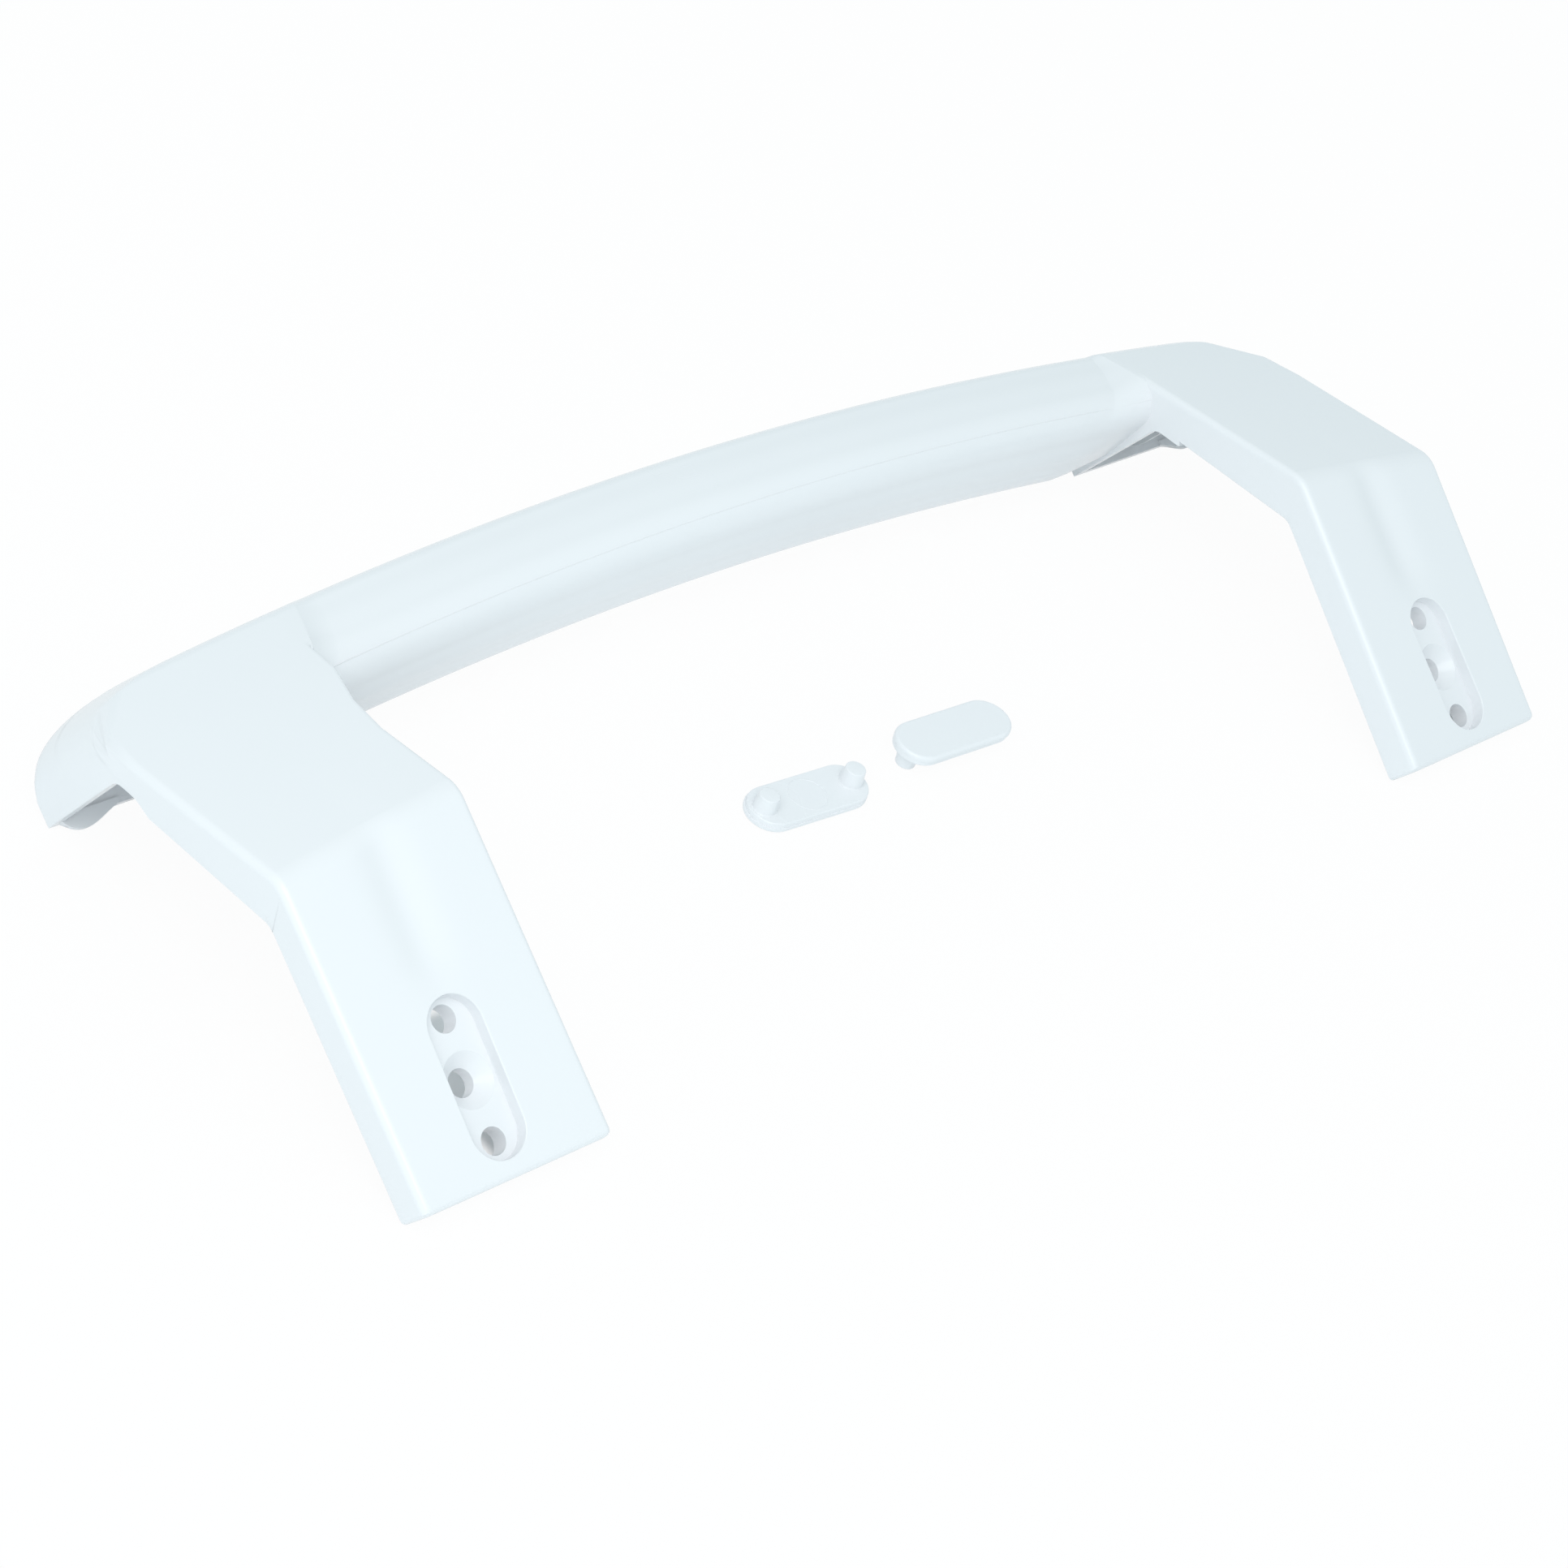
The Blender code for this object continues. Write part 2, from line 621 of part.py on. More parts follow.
def make_handle(parent, material):
    handle = mesh_object("handle", bar_loft(BAR_OVERLAP, 0.0), parent)
    handle.data.materials.append(material)
    for side, tag in ((-1, "left"), (1, "right")):
        boolean(handle, mesh_object(f"end_{tag}", end_loft(side), parent), "UNION")
    for side, tag in ((-1, "left"), (1, "right")):
        hollow = mesh_object(f"end_hollow_{tag}", end_loft(side, WALL, MOUTH), parent)
        boolean(handle, hollow, "DIFFERENCE")
    core = bar_loft(WALL + CORE_KEY, BAR_WALL)
    boolean(handle, mesh_object("bar_core", core, parent), "DIFFERENCE")
    for side, tag in ((-1, "left"), (1, "right")):
        boolean(handle, mesh_object(f"long_rib_{tag}", long_rib(side), parent), "UNION")
        boolean(handle, mesh_object(f"toe_{tag}", toe(side), parent), "UNION")
        for tool in foot_inside(side, parent):
            boolean(handle, tool, "UNION")
        for tool in foot_cuts(side, parent):
            boolean(handle, tool, "DIFFERENCE")
    shade(handle.data)
    return handle


def shade(mesh):
    mesh.shade_smooth()
    mesh.set_sharp_from_angle(angle=math.radians(30))


def cover_mesh():
    """Screw cover with its face up at z = 0 and its pegs hanging below."""
    length = RECESS_LENGTH - 2 * COVER_CLEARANCE
    width = RECESS_WIDTH - 2 * COVER_CLEARANCE
    rows = [(-COVER_THICKNESS, COVER_STEP), (-COVER_THICKNESS + COVER_STEP, COVER_STEP)]
    rows += [(-COVER_THICKNESS + COVER_STEP, 0.0)]
    for k in range(4):
        turn = math.pi / 2 * k / 3
        rows.append((-COVER_EDGE * (1 - math.sin(turn)), COVER_EDGE * (1 - math.cos(turn))))
    rings = []
    for z, inset in rows:
        outline = stadium(0, 0, length - 2 * inset, width - 2 * inset, 12)
        rings.append([Vector((x, y, z)) for x, y in outline])
    return loft(rings)


def make_cover(name, at, turn, face_up, material):
    """A cover lying on the floor, either on its pegs or on its face."""
    lift = COVER_THICKNESS + PEG_LENGTH if face_up else 0.0
    root = bpy.data.objects.new(f"{name}_place", None)
    bpy.context.scene.collection.objects.link(root)
    root.location = (at[0], at[1], lift)
    root.rotation_euler = (0 if face_up else math.pi, 0, turn + math.pi / 2)
    cover = mesh_object(name, cover_mesh(), root)
    cover.data.materials.append(material)
    for k, way in enumerate((-1, 1)):
        root_width = PEG_HOLE - 2 * PEG_CLEARANCE
        rings = []
        for z, width in (
            (-COVER_THICKNESS - PEG_LENGTH, root_width - 2 * PEG_DRAFT), (-COVER_THICKNESS + 0.5 * MM, root_width),
        ):
            outline = circle(0, way * PEG_PITCH / 2, width, 24)
            rings.append([Vector((x, y, z)) for x, y in outline])
        boolean(cover, mesh_object(f"{name}_peg_{k}", loft(rings), root), "UNION")
    shade(cover.data)
    return root


def rest_extent():
    """Front and back limits of the tipped handle along y, for its place on the floor."""
    c, s = math.cos(REST_ANGLE), math.sin(REST_ANGLE)
    ys, zs = [], []
    for station in end_stations():
        for point in cross_ring(station, 0.0, 0.0):
            ys.append(c * point.y - s * point.z)
            zs.append(s * point.y + c * point.z)
    for point in bar_section(0.0, 0.0, 0.0):
        y, z = point.x + bow(0), point.y
        ys.append(c * y - s * z)
        zs.append(s * y + c * z)
    return min(ys), max(ys), min(zs)


def build():
    clear_scene()
    white = plastic("gloss_white_plastic", (0.86, 0.87, 0.88), 0.28)
    cover_white = plastic("cover_white_plastic", (0.86, 0.87, 0.88), 0.3)
    front, back, floor = rest_extent()
    middle = (front + back) / 2
    tipped = bpy.data.objects.new("handle_at_rest", None)
    bpy.context.scene.collection.objects.link(tipped)
    tipped.rotation_euler = (REST_ANGLE, 0, 0)
    tipped.location = (0, -middle, -floor)
    make_handle(tipped, white)
    for name, at, turn, face_up in (
        ("screw_cover_left", LEFT_COVER_AT, LEFT_COVER_TURN, False),
        ("screw_cover_right", RIGHT_COVER_AT, RIGHT_COVER_TURN, True),
    ):
        make_cover(name, (at[0], at[1] - middle), turn, face_up, cover_white)
    bpy.context.view_layer.update()


build()
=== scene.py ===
"""Looks for the refrigerator door handle: gloss white plastic on a plain pale floor.

The handle and its covers are cut again here from the same sizes as the solid part, but finer,
with their small rounds, the mould's parting line and the sink marks. Lengths are in metres.
"""

import json
import math

import bmesh
import bpy
from mathutils import Euler, Matrix, Vector


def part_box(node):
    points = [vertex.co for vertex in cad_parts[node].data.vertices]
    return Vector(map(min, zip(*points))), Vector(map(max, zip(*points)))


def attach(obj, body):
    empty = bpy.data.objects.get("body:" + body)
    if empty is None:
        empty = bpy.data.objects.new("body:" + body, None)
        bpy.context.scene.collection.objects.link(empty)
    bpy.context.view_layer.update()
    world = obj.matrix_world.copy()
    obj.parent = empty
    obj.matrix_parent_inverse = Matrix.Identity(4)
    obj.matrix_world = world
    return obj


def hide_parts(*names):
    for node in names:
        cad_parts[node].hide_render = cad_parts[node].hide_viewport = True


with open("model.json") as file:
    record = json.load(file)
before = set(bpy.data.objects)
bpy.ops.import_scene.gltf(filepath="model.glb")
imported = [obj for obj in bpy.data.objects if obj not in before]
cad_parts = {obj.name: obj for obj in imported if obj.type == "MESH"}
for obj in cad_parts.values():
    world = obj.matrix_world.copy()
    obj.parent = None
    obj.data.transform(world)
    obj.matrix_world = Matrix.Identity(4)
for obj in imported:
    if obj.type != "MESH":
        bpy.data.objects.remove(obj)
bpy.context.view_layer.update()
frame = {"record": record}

MM = 0.001

# Spacing of the fixings
HOLE_PITCH = 310 * MM
SCREW_Y = 20.8 * MM
PEG_PITCH = 25.4 * MM

# Foot plates and arms
FOOT_WIDTH = 48.3 * MM
FOOT_SPLAY = 0.031
PLATE_HEIGHT = 9.0 * MM
FOOT_SHIFT = 1.2 * MM
BEND_Y = 72.4 * MM
BEND_RADIUS = 8.0 * MM
RIM_BEND_Y = 65.0 * MM
RIM_BEND_RADIUS = 4.5 * MM
ARM_SLOPE = math.radians(42.4)
RIM_SLOPE = math.radians(39.0)
TIP_FILLET = 1.4 * MM
TIP_CORNER = 1.2 * MM
SIDE_FILLET = 1.6 * MM

# Heads at the ends of the bar, and the skirts that stand on the door's front
END_Y = 121.5 * MM
HEAD_DEPTH = 60.7 * MM
END_LEAN = -0.04
TOP_CORNER_RADIUS = 5.0 * MM
BACK_CORNER_RADIUS = 11.0 * MM
SKIRT_Y = 100.8 * MM
SKIRT_LEAN = 1.4 * MM
SKIRT_RADIUS = 3.5 * MM
SKIRT_LIP = 2.2 * MM
CREST_CORNER_Y = 105.0 * MM
CREST_CORNER_POWER = 2.6
BACK_CORNER_Y = 109.0 * MM
BACK_CORNER_POWER = 2.5
FLARE_DEPTH = 11.0 * MM
HEAD_DRAFT = 1.0 * MM
BACK_EDGE = 0.5 * MM
BACK_ROUND = 3.5 * MM
BACK_ROUND_BEFORE = 2.0 * MM
BACK_ROUND_AFTER = 5.0 * MM

# Toe at the outer back corner of each skirt's rim
TOE_REACH = 2.8 * MM
TOE_OUT = 1.8 * MM
TOE_LENGTH = 14.5 * MM
TOE_TIP = 1.8 * MM
TOE_TOP = 3.0 * MM
TOE_KEY = 1.4 * MM
TOE_BITE = 0.2 * MM
TOE_START = 0.04
TOE_SKEW = 1.6
TOE_FULLNESS = 0.8
TOE_STEPS = 24

# Grip bar
BOW_RADIUS = 1306 * MM
NEAR_DROP = 4.0 * MM
FAR_DROP = 0.8 * MM
BAR_OVERLAP = 4.0 * MM
FLUSH_INSET = 0.004 * MM
NEAR_EDGE_Y = 102.8 * MM
NEAR_EDGE_RADIUS = 7.0 * MM
NOSE_RADIUS = 12.0 * MM
NOSE_Y = 95.0 * MM
NOSE_SHIFT = 3.2 * MM
NOSE_SHIFT_SPAN = 18.0 * MM
BAR_OFF_DOOR = 0.5 * MM
SMALLEST_ROUND = 0.6 * MM
CORE_PULL = 1.4

# Shoulders where the bar's broad face steps up to the head, measured inwards from the head:
# the upper and the lower edge of the step, each at the near side and at the far crest
LEFT_SHOULDER = (1.5 * MM, 12.0 * MM, 10.0 * MM, 18.7 * MM)
RIGHT_SHOULDER = (-1.5 * MM, 1.2 * MM, 14.2 * MM, 3.0 * MM)
UPPER_EDGE_POWER = 1.1
LOWER_EDGE_POWER = 0.75
LEFT_STEP_POWER = 1.8
RIGHT_STEP_POWER = 1.15
STEP_SHARES = tuple(k / 14 for k in range(15))
BAR_SHARES = tuple(0.9 - 0.06 * k for k in range(15))

# Moulding walls, ribs and bosses
WALL = 2.5 * MM
BAR_WALL = 3.2 * MM
RIB = 1.6 * MM
RIB_SHY = 1.5 * MM
RIB_KEY = 1.0 * MM
CORE_KEY = 2.0 * MM
MOUTH = 4.0 * MM
CROSS_RIB_GAP = 6.0 * MM
CROSS_RIB_PITCH = 14.0 * MM

# Screw cover recess
RECESS_LENGTH = 33.9 * MM
RECESS_WIDTH = 13.1 * MM
RECESS_DEPTH = 3.1 * MM
RECESS_FLOOR = 2.0 * MM
PEG_HOLE = 5.8 * MM
SCREW_HOLE = 5.9 * MM
SINK_TOP = 11.8 * MM
SINK_DEPTH = 2.8 * MM
SCREW_BOSS = 15.0 * MM
PEG_BOSS = 9.4 * MM
PEG_BOSS_SHY = 1.5 * MM

# Screw covers
COVER_CLEARANCE = 0.3 * MM
COVER_THICKNESS = 2.6 * MM
COVER_EDGE = 0.8 * MM
PEG_CLEARANCE = 0.1 * MM
PEG_LENGTH = 4.0 * MM
PEG_DRAFT = 0.4 * MM
LEFT_COVER_TURN = -0.07
RIGHT_COVER_TURN = -0.05

# How finely the skin is cut, and the coarser cut of what is hidden inside
FINE = {"arc": 14, "across": 30, "face": 12, "fillet": 6, "plate": 16}
COARSE = {"arc": 5, "across": 5, "face": 3, "fillet": 3, "plate": 0}
ROUND_STEPS = 72
WALL_STEPS = (0.0, 0.04, 0.14, 0.3, 0.52, 0.76)
detail = dict(FINE)

# Points this near are one, forms that touch differ by this much, and cuts run on by this much
WELD = 0.002 * MM
TOUCH = 0.01 * MM
OVERCUT = 0.2 * MM

# Small rounds and crowns that only show close up
RIM_ROUND = 0.3 * MM
MOUTH_ROUND = 0.3 * MM
INNER_EDGE = 0.06 * MM
FACE_CROWN = 0.30 * MM
NEAR_CROWN = 0.50 * MM

# Where the inner wall of an end runs into the bar: the left arm's flare, and the fading fillet
LEFT_FLARE = 6.4 * MM
FLARE_START = 91.0 * MM
FLARE_END = 106.0 * MM
FLARE_POWER = 1.5
FILLET_START = 108.0 * MM
FILLET_FADE = 8.0 * MM
CREST_FILLET_GROWTH = 1.4

# Share of the bar's bow that the open rim follows, by part of the end
RIM_BOW = {"plate": 0.0, "arm": 0.8, "head": 0.0}

# Shallow dip that the long rib leaves in each foot plate
SINK_MARK = 1.35 * MM
SINK_WIDTH = 3.5 * MM
SINK_AT = 57.0 * MM
SINK_LENGTH = 14.0 * MM
SINK_POWER = 6

# Parting line of the mould along the bar
PARTING_Y = 105.4 * MM
PARTING_WIDTH = 0.28 * MM
PARTING_HEIGHT = 0.12 * MM
PARTING_SHOULDER = (0.7, 0.3)
PARTING_STEPS = 80

# Small forms of the covers: the step between the mould's halves, the rounds and the ring mark
LEDGE = 0.22 * MM
LEDGE_SLOPE = 0.02 * MM
BASE_ROUND = 0.35 * MM
PEG_ROUND = 0.3 * MM
PEG_FOOT = 0.35 * MM
PEG_FOOT_SHY = 0.03 * MM
PEG_KEY = 0.4 * MM
PEG_STEPS = 48
COVER_STEPS = 28
RING_RADIUS = 4.7 * MM
RING_STEPS = 72
RING_SECTION = (
    (0.22 * MM, 0.05 * MM), (0.16 * MM, -0.03 * MM), (0.05 * MM, -0.07 * MM),
    (-0.08 * MM, -0.06 * MM), (-0.2 * MM, 0.05 * MM), (0.22 * MM, 0.05 * MM),
)

# Fit to the plain solid's box, and the smooth shading
EASE = 0.3 * MM
SMOOTH_ANGLE = math.radians(32)
NORMAL_WEIGHT = 90

# Looks of the plastic
WHITE = (0.872, 0.868, 0.888)
HANDLE_ROUGHNESS = 0.26
COVER_ROUGHNESS = 0.28
ROUGHNESS_SPREAD = 0.03
FLOW_SHADE = 0.985

# Floor: its glow, and the two patches of painted shade below the foot plates, where its glow is
# cut
FLOOR_REACH = 6.0
FLOOR_DROP = 0.2 * MM
FLOOR_GLOW = 0.95
SHADE_GLOW = 0.1
SHADE_Y = -45.0 * MM
SHADE_HALF_Y = 17.0 * MM
SHADE_LEFT_X = -140.0 * MM
SHADE_RIGHT_X = 171.0 * MM
SHADE_HALF_X = 8.0 * MM
SHADE_FADE = 4.0 * MM

# Sizes that follow from those above
HALF_PITCH = HOLE_PITCH / 2
BEND_TANGENT = BEND_RADIUS * math.tan(ARM_SLOPE / 2)
FOOT_INNER = HALF_PITCH - FOOT_WIDTH / 2 - FOOT_SHIFT
FOOT_OUTER = FOOT_INNER + FOOT_WIDTH
HEAD_INNER = FOOT_INNER + FOOT_SPLAY * SKIRT_Y
BAR_BACK = HEAD_DEPTH - BAR_OFF_DOOR
END_HEIGHT = HEAD_DEPTH + PLATE_HEIGHT - math.tan(ARM_SLOPE) * (END_Y - BEND_Y)
CREST_ROUND = min(TOP_CORNER_RADIUS, END_HEIGHT / 4)
HEEL_ROUND = min(BACK_CORNER_RADIUS, END_HEIGHT / 2)
NOSE_ROUND = min(NOSE_RADIUS, 0.49 * END_HEIGHT)
SKIRT_END = Vector((SKIRT_Y - SKIRT_LEAN, -HEAD_DEPTH))
REST_ANGLE = math.atan2(HEAD_DEPTH, SKIRT_END.x)
SIDES = ((-1, "left"), (1, "right"))


def add_object(name, data):
    """New object of this name in the scene."""
    obj = bpy.data.objects.new(name, data)
    bpy.context.scene.collection.objects.link(obj)
    return obj


def to_mesh(name, bm):
    """New mesh from a finished bmesh, which is freed."""
    mesh = bpy.data.meshes.new(name)
    bm.to_mesh(mesh)
    bm.free()
    return mesh


def tidy_faces(bm):
    """Weld points that meet, and turn all faces outwards."""
    bmesh.ops.remove_doubles(bm, verts=bm.verts, dist=WELD)
    bmesh.ops.recalc_face_normals(bm, faces=bm.faces)


def mesh_object(name, bm):
    """New object from a bmesh, welded and facing outwards."""
    tidy_faces(bm)
    return add_object(name, to_mesh(name, bm))


def evaluated_mesh(obj):
    """New mesh from an object with its modifiers applied."""
    bpy.context.view_layer.update()
    graph = bpy.context.evaluated_depsgraph_get()
    return bpy.data.meshes.new_from_object(obj.evaluated_get(graph))


def clamp(share):
    """A share, held between nothing and all."""
    return min(max(share, 0), 1)


def quarter(radius, steps):
    """Points of a quarter round, as (distance left to one side, distance from the other)."""
    turns = [math.pi / 2 * k / steps for k in range(steps + 1)]
    return [(radius * (1 - math.sin(turn)), radius * (1 - math.cos(turn))) for turn in turns]


def bow(x):
    """How much farther out a point of the bowed bar lies than one at the screw holes."""
    return (HALF_PITCH ** 2 - x * x) / (2 * BOW_RADIUS)


def round_centre(before, corner, after, radius):
    """Centre of a round of this radius between two straight runs that meet at corner."""
    a = (before - corner).normalized()
    b = (after - corner).normalized()
    return corner + (a + b).normalized() * radius / math.sin(a.angle(b) / 2)


def arc(before, corner, after, radius, steps=None):
    """Points of a round of this radius between two straight runs that meet at corner."""
    a = (before - corner).normalized()
    b = (after - corner).normalized()
    half = a.angle(b) / 2
    steps = steps or detail["arc"]
    centre = round_centre(before, corner, after, radius)
    start = corner + a * radius / math.tan(half) - centre
    end = corner + b * radius / math.tan(half) - centre
    turn = start.angle_signed(end)
    points = []
    for k in range(steps + 1):
        angle = -turn * k / steps
        c, s = math.cos(angle), math.sin(angle)
        points.append(centre + Vector((c * start.x - s * start.y, s * start.x + c * start.y)))
    return points


def outward(chain):
    """Normals along a chain of points that runs from the tip over the top to the back."""
    normals = []
    for i, point in enumerate(chain):
        before = (point - chain[max(i - 1, 0)]).normalized()
        after = (chain[min(i + 1, len(chain) - 1)] - point).normalized()
        along = (before + after).normalized()
        normals.append(Vector((-along.y, along.x)))
    return normals


def side_corners():
    """Corners of the end's side view: the outer skin, then the open rim."""
    top = PLATE_HEIGHT
    crest = Vector((END_Y, top - math.tan(ARM_SLOPE) * (END_Y - BEND_Y)))
    heel = Vector((END_Y - END_LEAN * (HEAD_DEPTH + crest.y), -HEAD_DEPTH))
    skin = [Vector((0, top)), Vector((BEND_Y, top)), crest, heel, SKIRT_END]
    knee = Vector((SKIRT_Y, -math.tan(RIM_SLOPE) * (SKIRT_Y - RIM_BEND_Y)))
    rim = [Vector((0, 0)), Vector((RIM_BEND_Y, 0)), knee, SKIRT_END]
    return skin, rim


def spread(a, b, count):
    """Points strictly between a and b."""
    return [a.lerp(b, (k + 1) / (count + 1)) for k in range(count)]


def along_rim(path, fraction):
    """Point at a fraction of the length of a path."""
    lengths = [(path[i + 1] - path[i]).length for i in range(len(path) - 1)]
    left = fraction * sum(lengths)
    for i, length in enumerate(lengths):
        if left <= length or i == len(lengths) - 1:
            return path[i].lerp(path[i + 1], min(left / length, 1))
        left -= length


def end_stations():
    """Stations of one end: skin point, skin normal, rim point, rim direction, part of the end."""
    skin, rim = side_corners()
    bend = arc(skin[0], skin[1], skin[2], BEND_RADIUS)
    crest = arc(skin[1], skin[2], skin[3], CREST_ROUND)
    heel = arc(skin[2], skin[3], skin[4], HEEL_ROUND)
    rim_bend = arc(rim[0], rim[1], rim[2], RIM_BEND_RADIUS)
    knee = arc(rim[1], rim[2], rim[3], SKIRT_RADIUS, 3)
    tip = [
        (Vector((y, PLATE_HEIGHT - drop)), Vector((y, 0))) for drop, y in quarter(TIP_FILLET, 3)
    ]
    slope_top = spread(bend[-1], crest[0], 5)
    slope_rim = spread(rim_bend[-1], knee[0], 4)
    down = Vector((0, -1))
    arm_down = Vector((-math.sin(RIM_SLOPE), -math.cos(RIM_SLOPE)))
    tip += zip(spread(tip[-1][0], bend[0], detail["plate"]),
               spread(tip[-1][1], rim_bend[0], detail["plate"]))
    stations = [(p, Vector((0, 1)), r, down, "plate") for p, r in tip]
    for k, point in enumerate(bend):
        part = "plate" if k == 0 else "arm"
        stations.append((point, None, rim_bend[k], down.lerp(arm_down, k / detail["arc"]), part))
    for point, low in zip(slope_top[:3], slope_rim[:3]):
        stations.append((point, None, low, arm_down, "arm"))
    skin_rest = slope_top[3:] + crest + spread(crest[-1], heel[0], 1) + heel
    skin_rest += spread(heel[-1], SKIRT_END, 2) + [SKIRT_END]
    lip = SKIRT_END.lerp(knee[-1], SKIRT_LIP / (knee[-1] - SKIRT_END).length)
    rim_rest = [slope_rim[3]] + knee + [lip]
    for k, point in enumerate(skin_rest):
        fraction = k / (len(skin_rest) - 1)
        low = along_rim(rim_rest, fraction)
        way = arm_down.lerp(Vector((-1, 0)), min(3 * fraction, 1)).normalized()
        stations.append((point, None, low, way, "head" if k > 1 else "arm"))
    normals = outward([s[0] for s in stations])
    return [(s[0], s[1] or normals[i], *s[2:]) for i, s in enumerate(stations)]


def inner_side(y, flare=0.0):
    """Inner wall of an end, which may flare inwards where it runs into the bar."""
    share = clamp((y - FLARE_START) / (FLARE_END - FLARE_START))
    return FOOT_INNER + FOOT_SPLAY * y - flare * share ** FLARE_POWER


def outer_side(y, z, inset):
    """Outer wall of an end, whose corner in plan is rounder at the crest than farther back."""
    crest_z = side_corners()[0][2].y
    depth = clamp((crest_z - z) / FLARE_DEPTH)
    corner_y = CREST_CORNER_Y + (BACK_CORNER_Y - CREST_CORNER_Y) * depth
    power = CREST_CORNER_POWER + (BACK_CORNER_POWER - CREST_CORNER_POWER) * depth
    draft = HEAD_DRAFT * clamp((crest_z - z) / (HEAD_DEPTH + crest_z))
    straight = FOOT_OUTER + FOOT_SPLAY * min(y, corner_y) - draft - inset
    if y <= corner_y:
        return straight
    reach = END_Y - END_LEAN * max(crest_z - z, 0) - inset
    v = min((y - corner_y) / (reach - corner_y), 1)
    return HALF_PITCH + (straight - HALF_PITCH) * (1 - v ** power) ** (1 / power)


def side_fillet(point, part, side):
    """Radius between the skin and a side wall, small where the bar joins and at the back."""
    if part != "head":
        return SIDE_FILLET
    high_up = point.y > -HEAD_DEPTH + HEEL_ROUND
    if side == "inner" and high_up:
        share = clamp((point.x - FILLET_START) / FILLET_FADE)
        return SIDE_FILLET + (INNER_EDGE - SIDE_FILLET) * share
    if side == "inner" and point.x > SKIRT_Y:
        return INNER_EDGE
    if high_up:
        return SIDE_FILLET * (CREST_FILLET_GROWTH if point.x > SKIRT_Y else 1.0)
    start, end = BACK_CORNER_Y - BACK_ROUND_BEFORE, BACK_CORNER_Y + BACK_ROUND_AFTER
    share = clamp((point.x - start) / (end - start))
    return BACK_EDGE + (BACK_ROUND - BACK_EDGE) * share


def plan_corner(y):
    """Inset of both side walls at the corners of the foot tip."""
    if y >= TIP_CORNER:
        return 0.0
    return TIP_CORNER - math.sqrt(TIP_CORNER ** 2 - (TIP_CORNER - y) ** 2)


def skin_shift(point, part):
    """Share of the bow that a skin point follows: none at the foot tip or at the skirt's edge."""
    if part == "plate":
        return clamp((point.x - TIP_FILLET) / (BEND_Y - BEND_TANGENT - TIP_FILLET))
    if point.y > -HEAD_DEPTH + TOUCH:
        return 1.0
    reach = END_Y - HEEL_ROUND - SKIRT_END.x
    return min((point.x - SKIRT_END.x) / reach, 1)


def sink_mark(x, y):
    """Depth of the shallow dip that the long rib leaves in the skin above the recess."""
    across = (x - HALF_PITCH) / SINK_WIDTH
    along = (y - SINK_AT) / SINK_LENGTH
    return SINK_MARK * math.exp(-across * across / 2 - along ** SINK_POWER / 2)


def rim_steps(height, inset):
    """Last steps of a side wall (share of its height, tuck), which round its outer rim."""
    if inset:
        return [(1.0, 0.0)]
    return [(1 - left / height, tuck) for left, tuck in quarter(RIM_ROUND, 3)]


def cross_ring(station, inset, mouth, flare):
    """One closed cross ring: up the inner wall, over the skin and down the outer wall."""
    skin, normal, rim, way, part = station
    fillets = {
        side: max(side_fillet(skin, part, side) - inset, INNER_EDGE) for side in ("inner", "outer")
    }
    skin = skin - normal * inset
    rim = rim + way * mouth
    low_shift = RIM_BOW[part]
    high_shift = skin_shift(station[0], part)

    def place(flat, share, across, drop):
        """Point on a wall, or a share of the way across the skin, drop in from the walls."""
        y, z = flat.x, flat.y
        corner = plan_corner(y) if inset == 0 else 0
        left = inner_side(y, flare) + inset + corner
        right = outer_side(y, z, inset) - corner
        if across == "inner":
            x = left + drop[0]
        elif across == "outer":
            x = right - drop[0]
        else:
            low, high = left + drop[0], right - drop[1]
            x = low + (high - low) * across
        sunk = sink_mark(x, y) if across not in ("inner", "outer") and inset == 0 else 0
        return Vector((x, y + bow(x) * share - sunk * normal.x, z - sunk * normal.y))

    ring = []
    turns = [math.pi / 2 * k / detail["fillet"] for k in range(detail["fillet"] + 1)]
    for side, fillet in fillets.items():
        wall = []
        top = skin - normal * fillet
        height = (rim - top).length
        steps = [(f, 0.0) for f in WALL_STEPS] + rim_steps(height, inset)
        for f, tuck in reversed(steps):
            share = high_shift + (low_shift - high_shift) * f
            wall.append(place(top.lerp(rim, f), share, side, (tuck,)))
        for turn in turns[1:-1]:
            sink = skin - normal * fillet * (1 - math.sin(turn))
            wall.append(place(sink, high_shift, side, (fillet * (1 - math.cos(turn)),)))
        if side == "inner":
            ring += wall
            for k in range(detail["across"] + 1):
                ring.append(place(skin, high_shift, k / detail["across"], tuple(fillets.values())))
        else:
            ring += reversed(wall)
    return ring


def loft(rings):
    """Closed skin through rings of equal length, capped at both ends."""
    bm = bmesh.new()
    rows = [[bm.verts.new(point) for point in ring] for ring in rings]
    count = len(rows[0])
    for low, high in zip(rows, rows[1:]):
        for i in range(count):
            j = (i + 1) % count
            bm.faces.new((low[i], low[j], high[j], high[i]))
    bm.faces.new(rows[0])
    bm.faces.new(reversed(rows[-1]))
    bmesh.ops.remove_doubles(bm, verts=bm.verts, dist=WELD)
    return bm


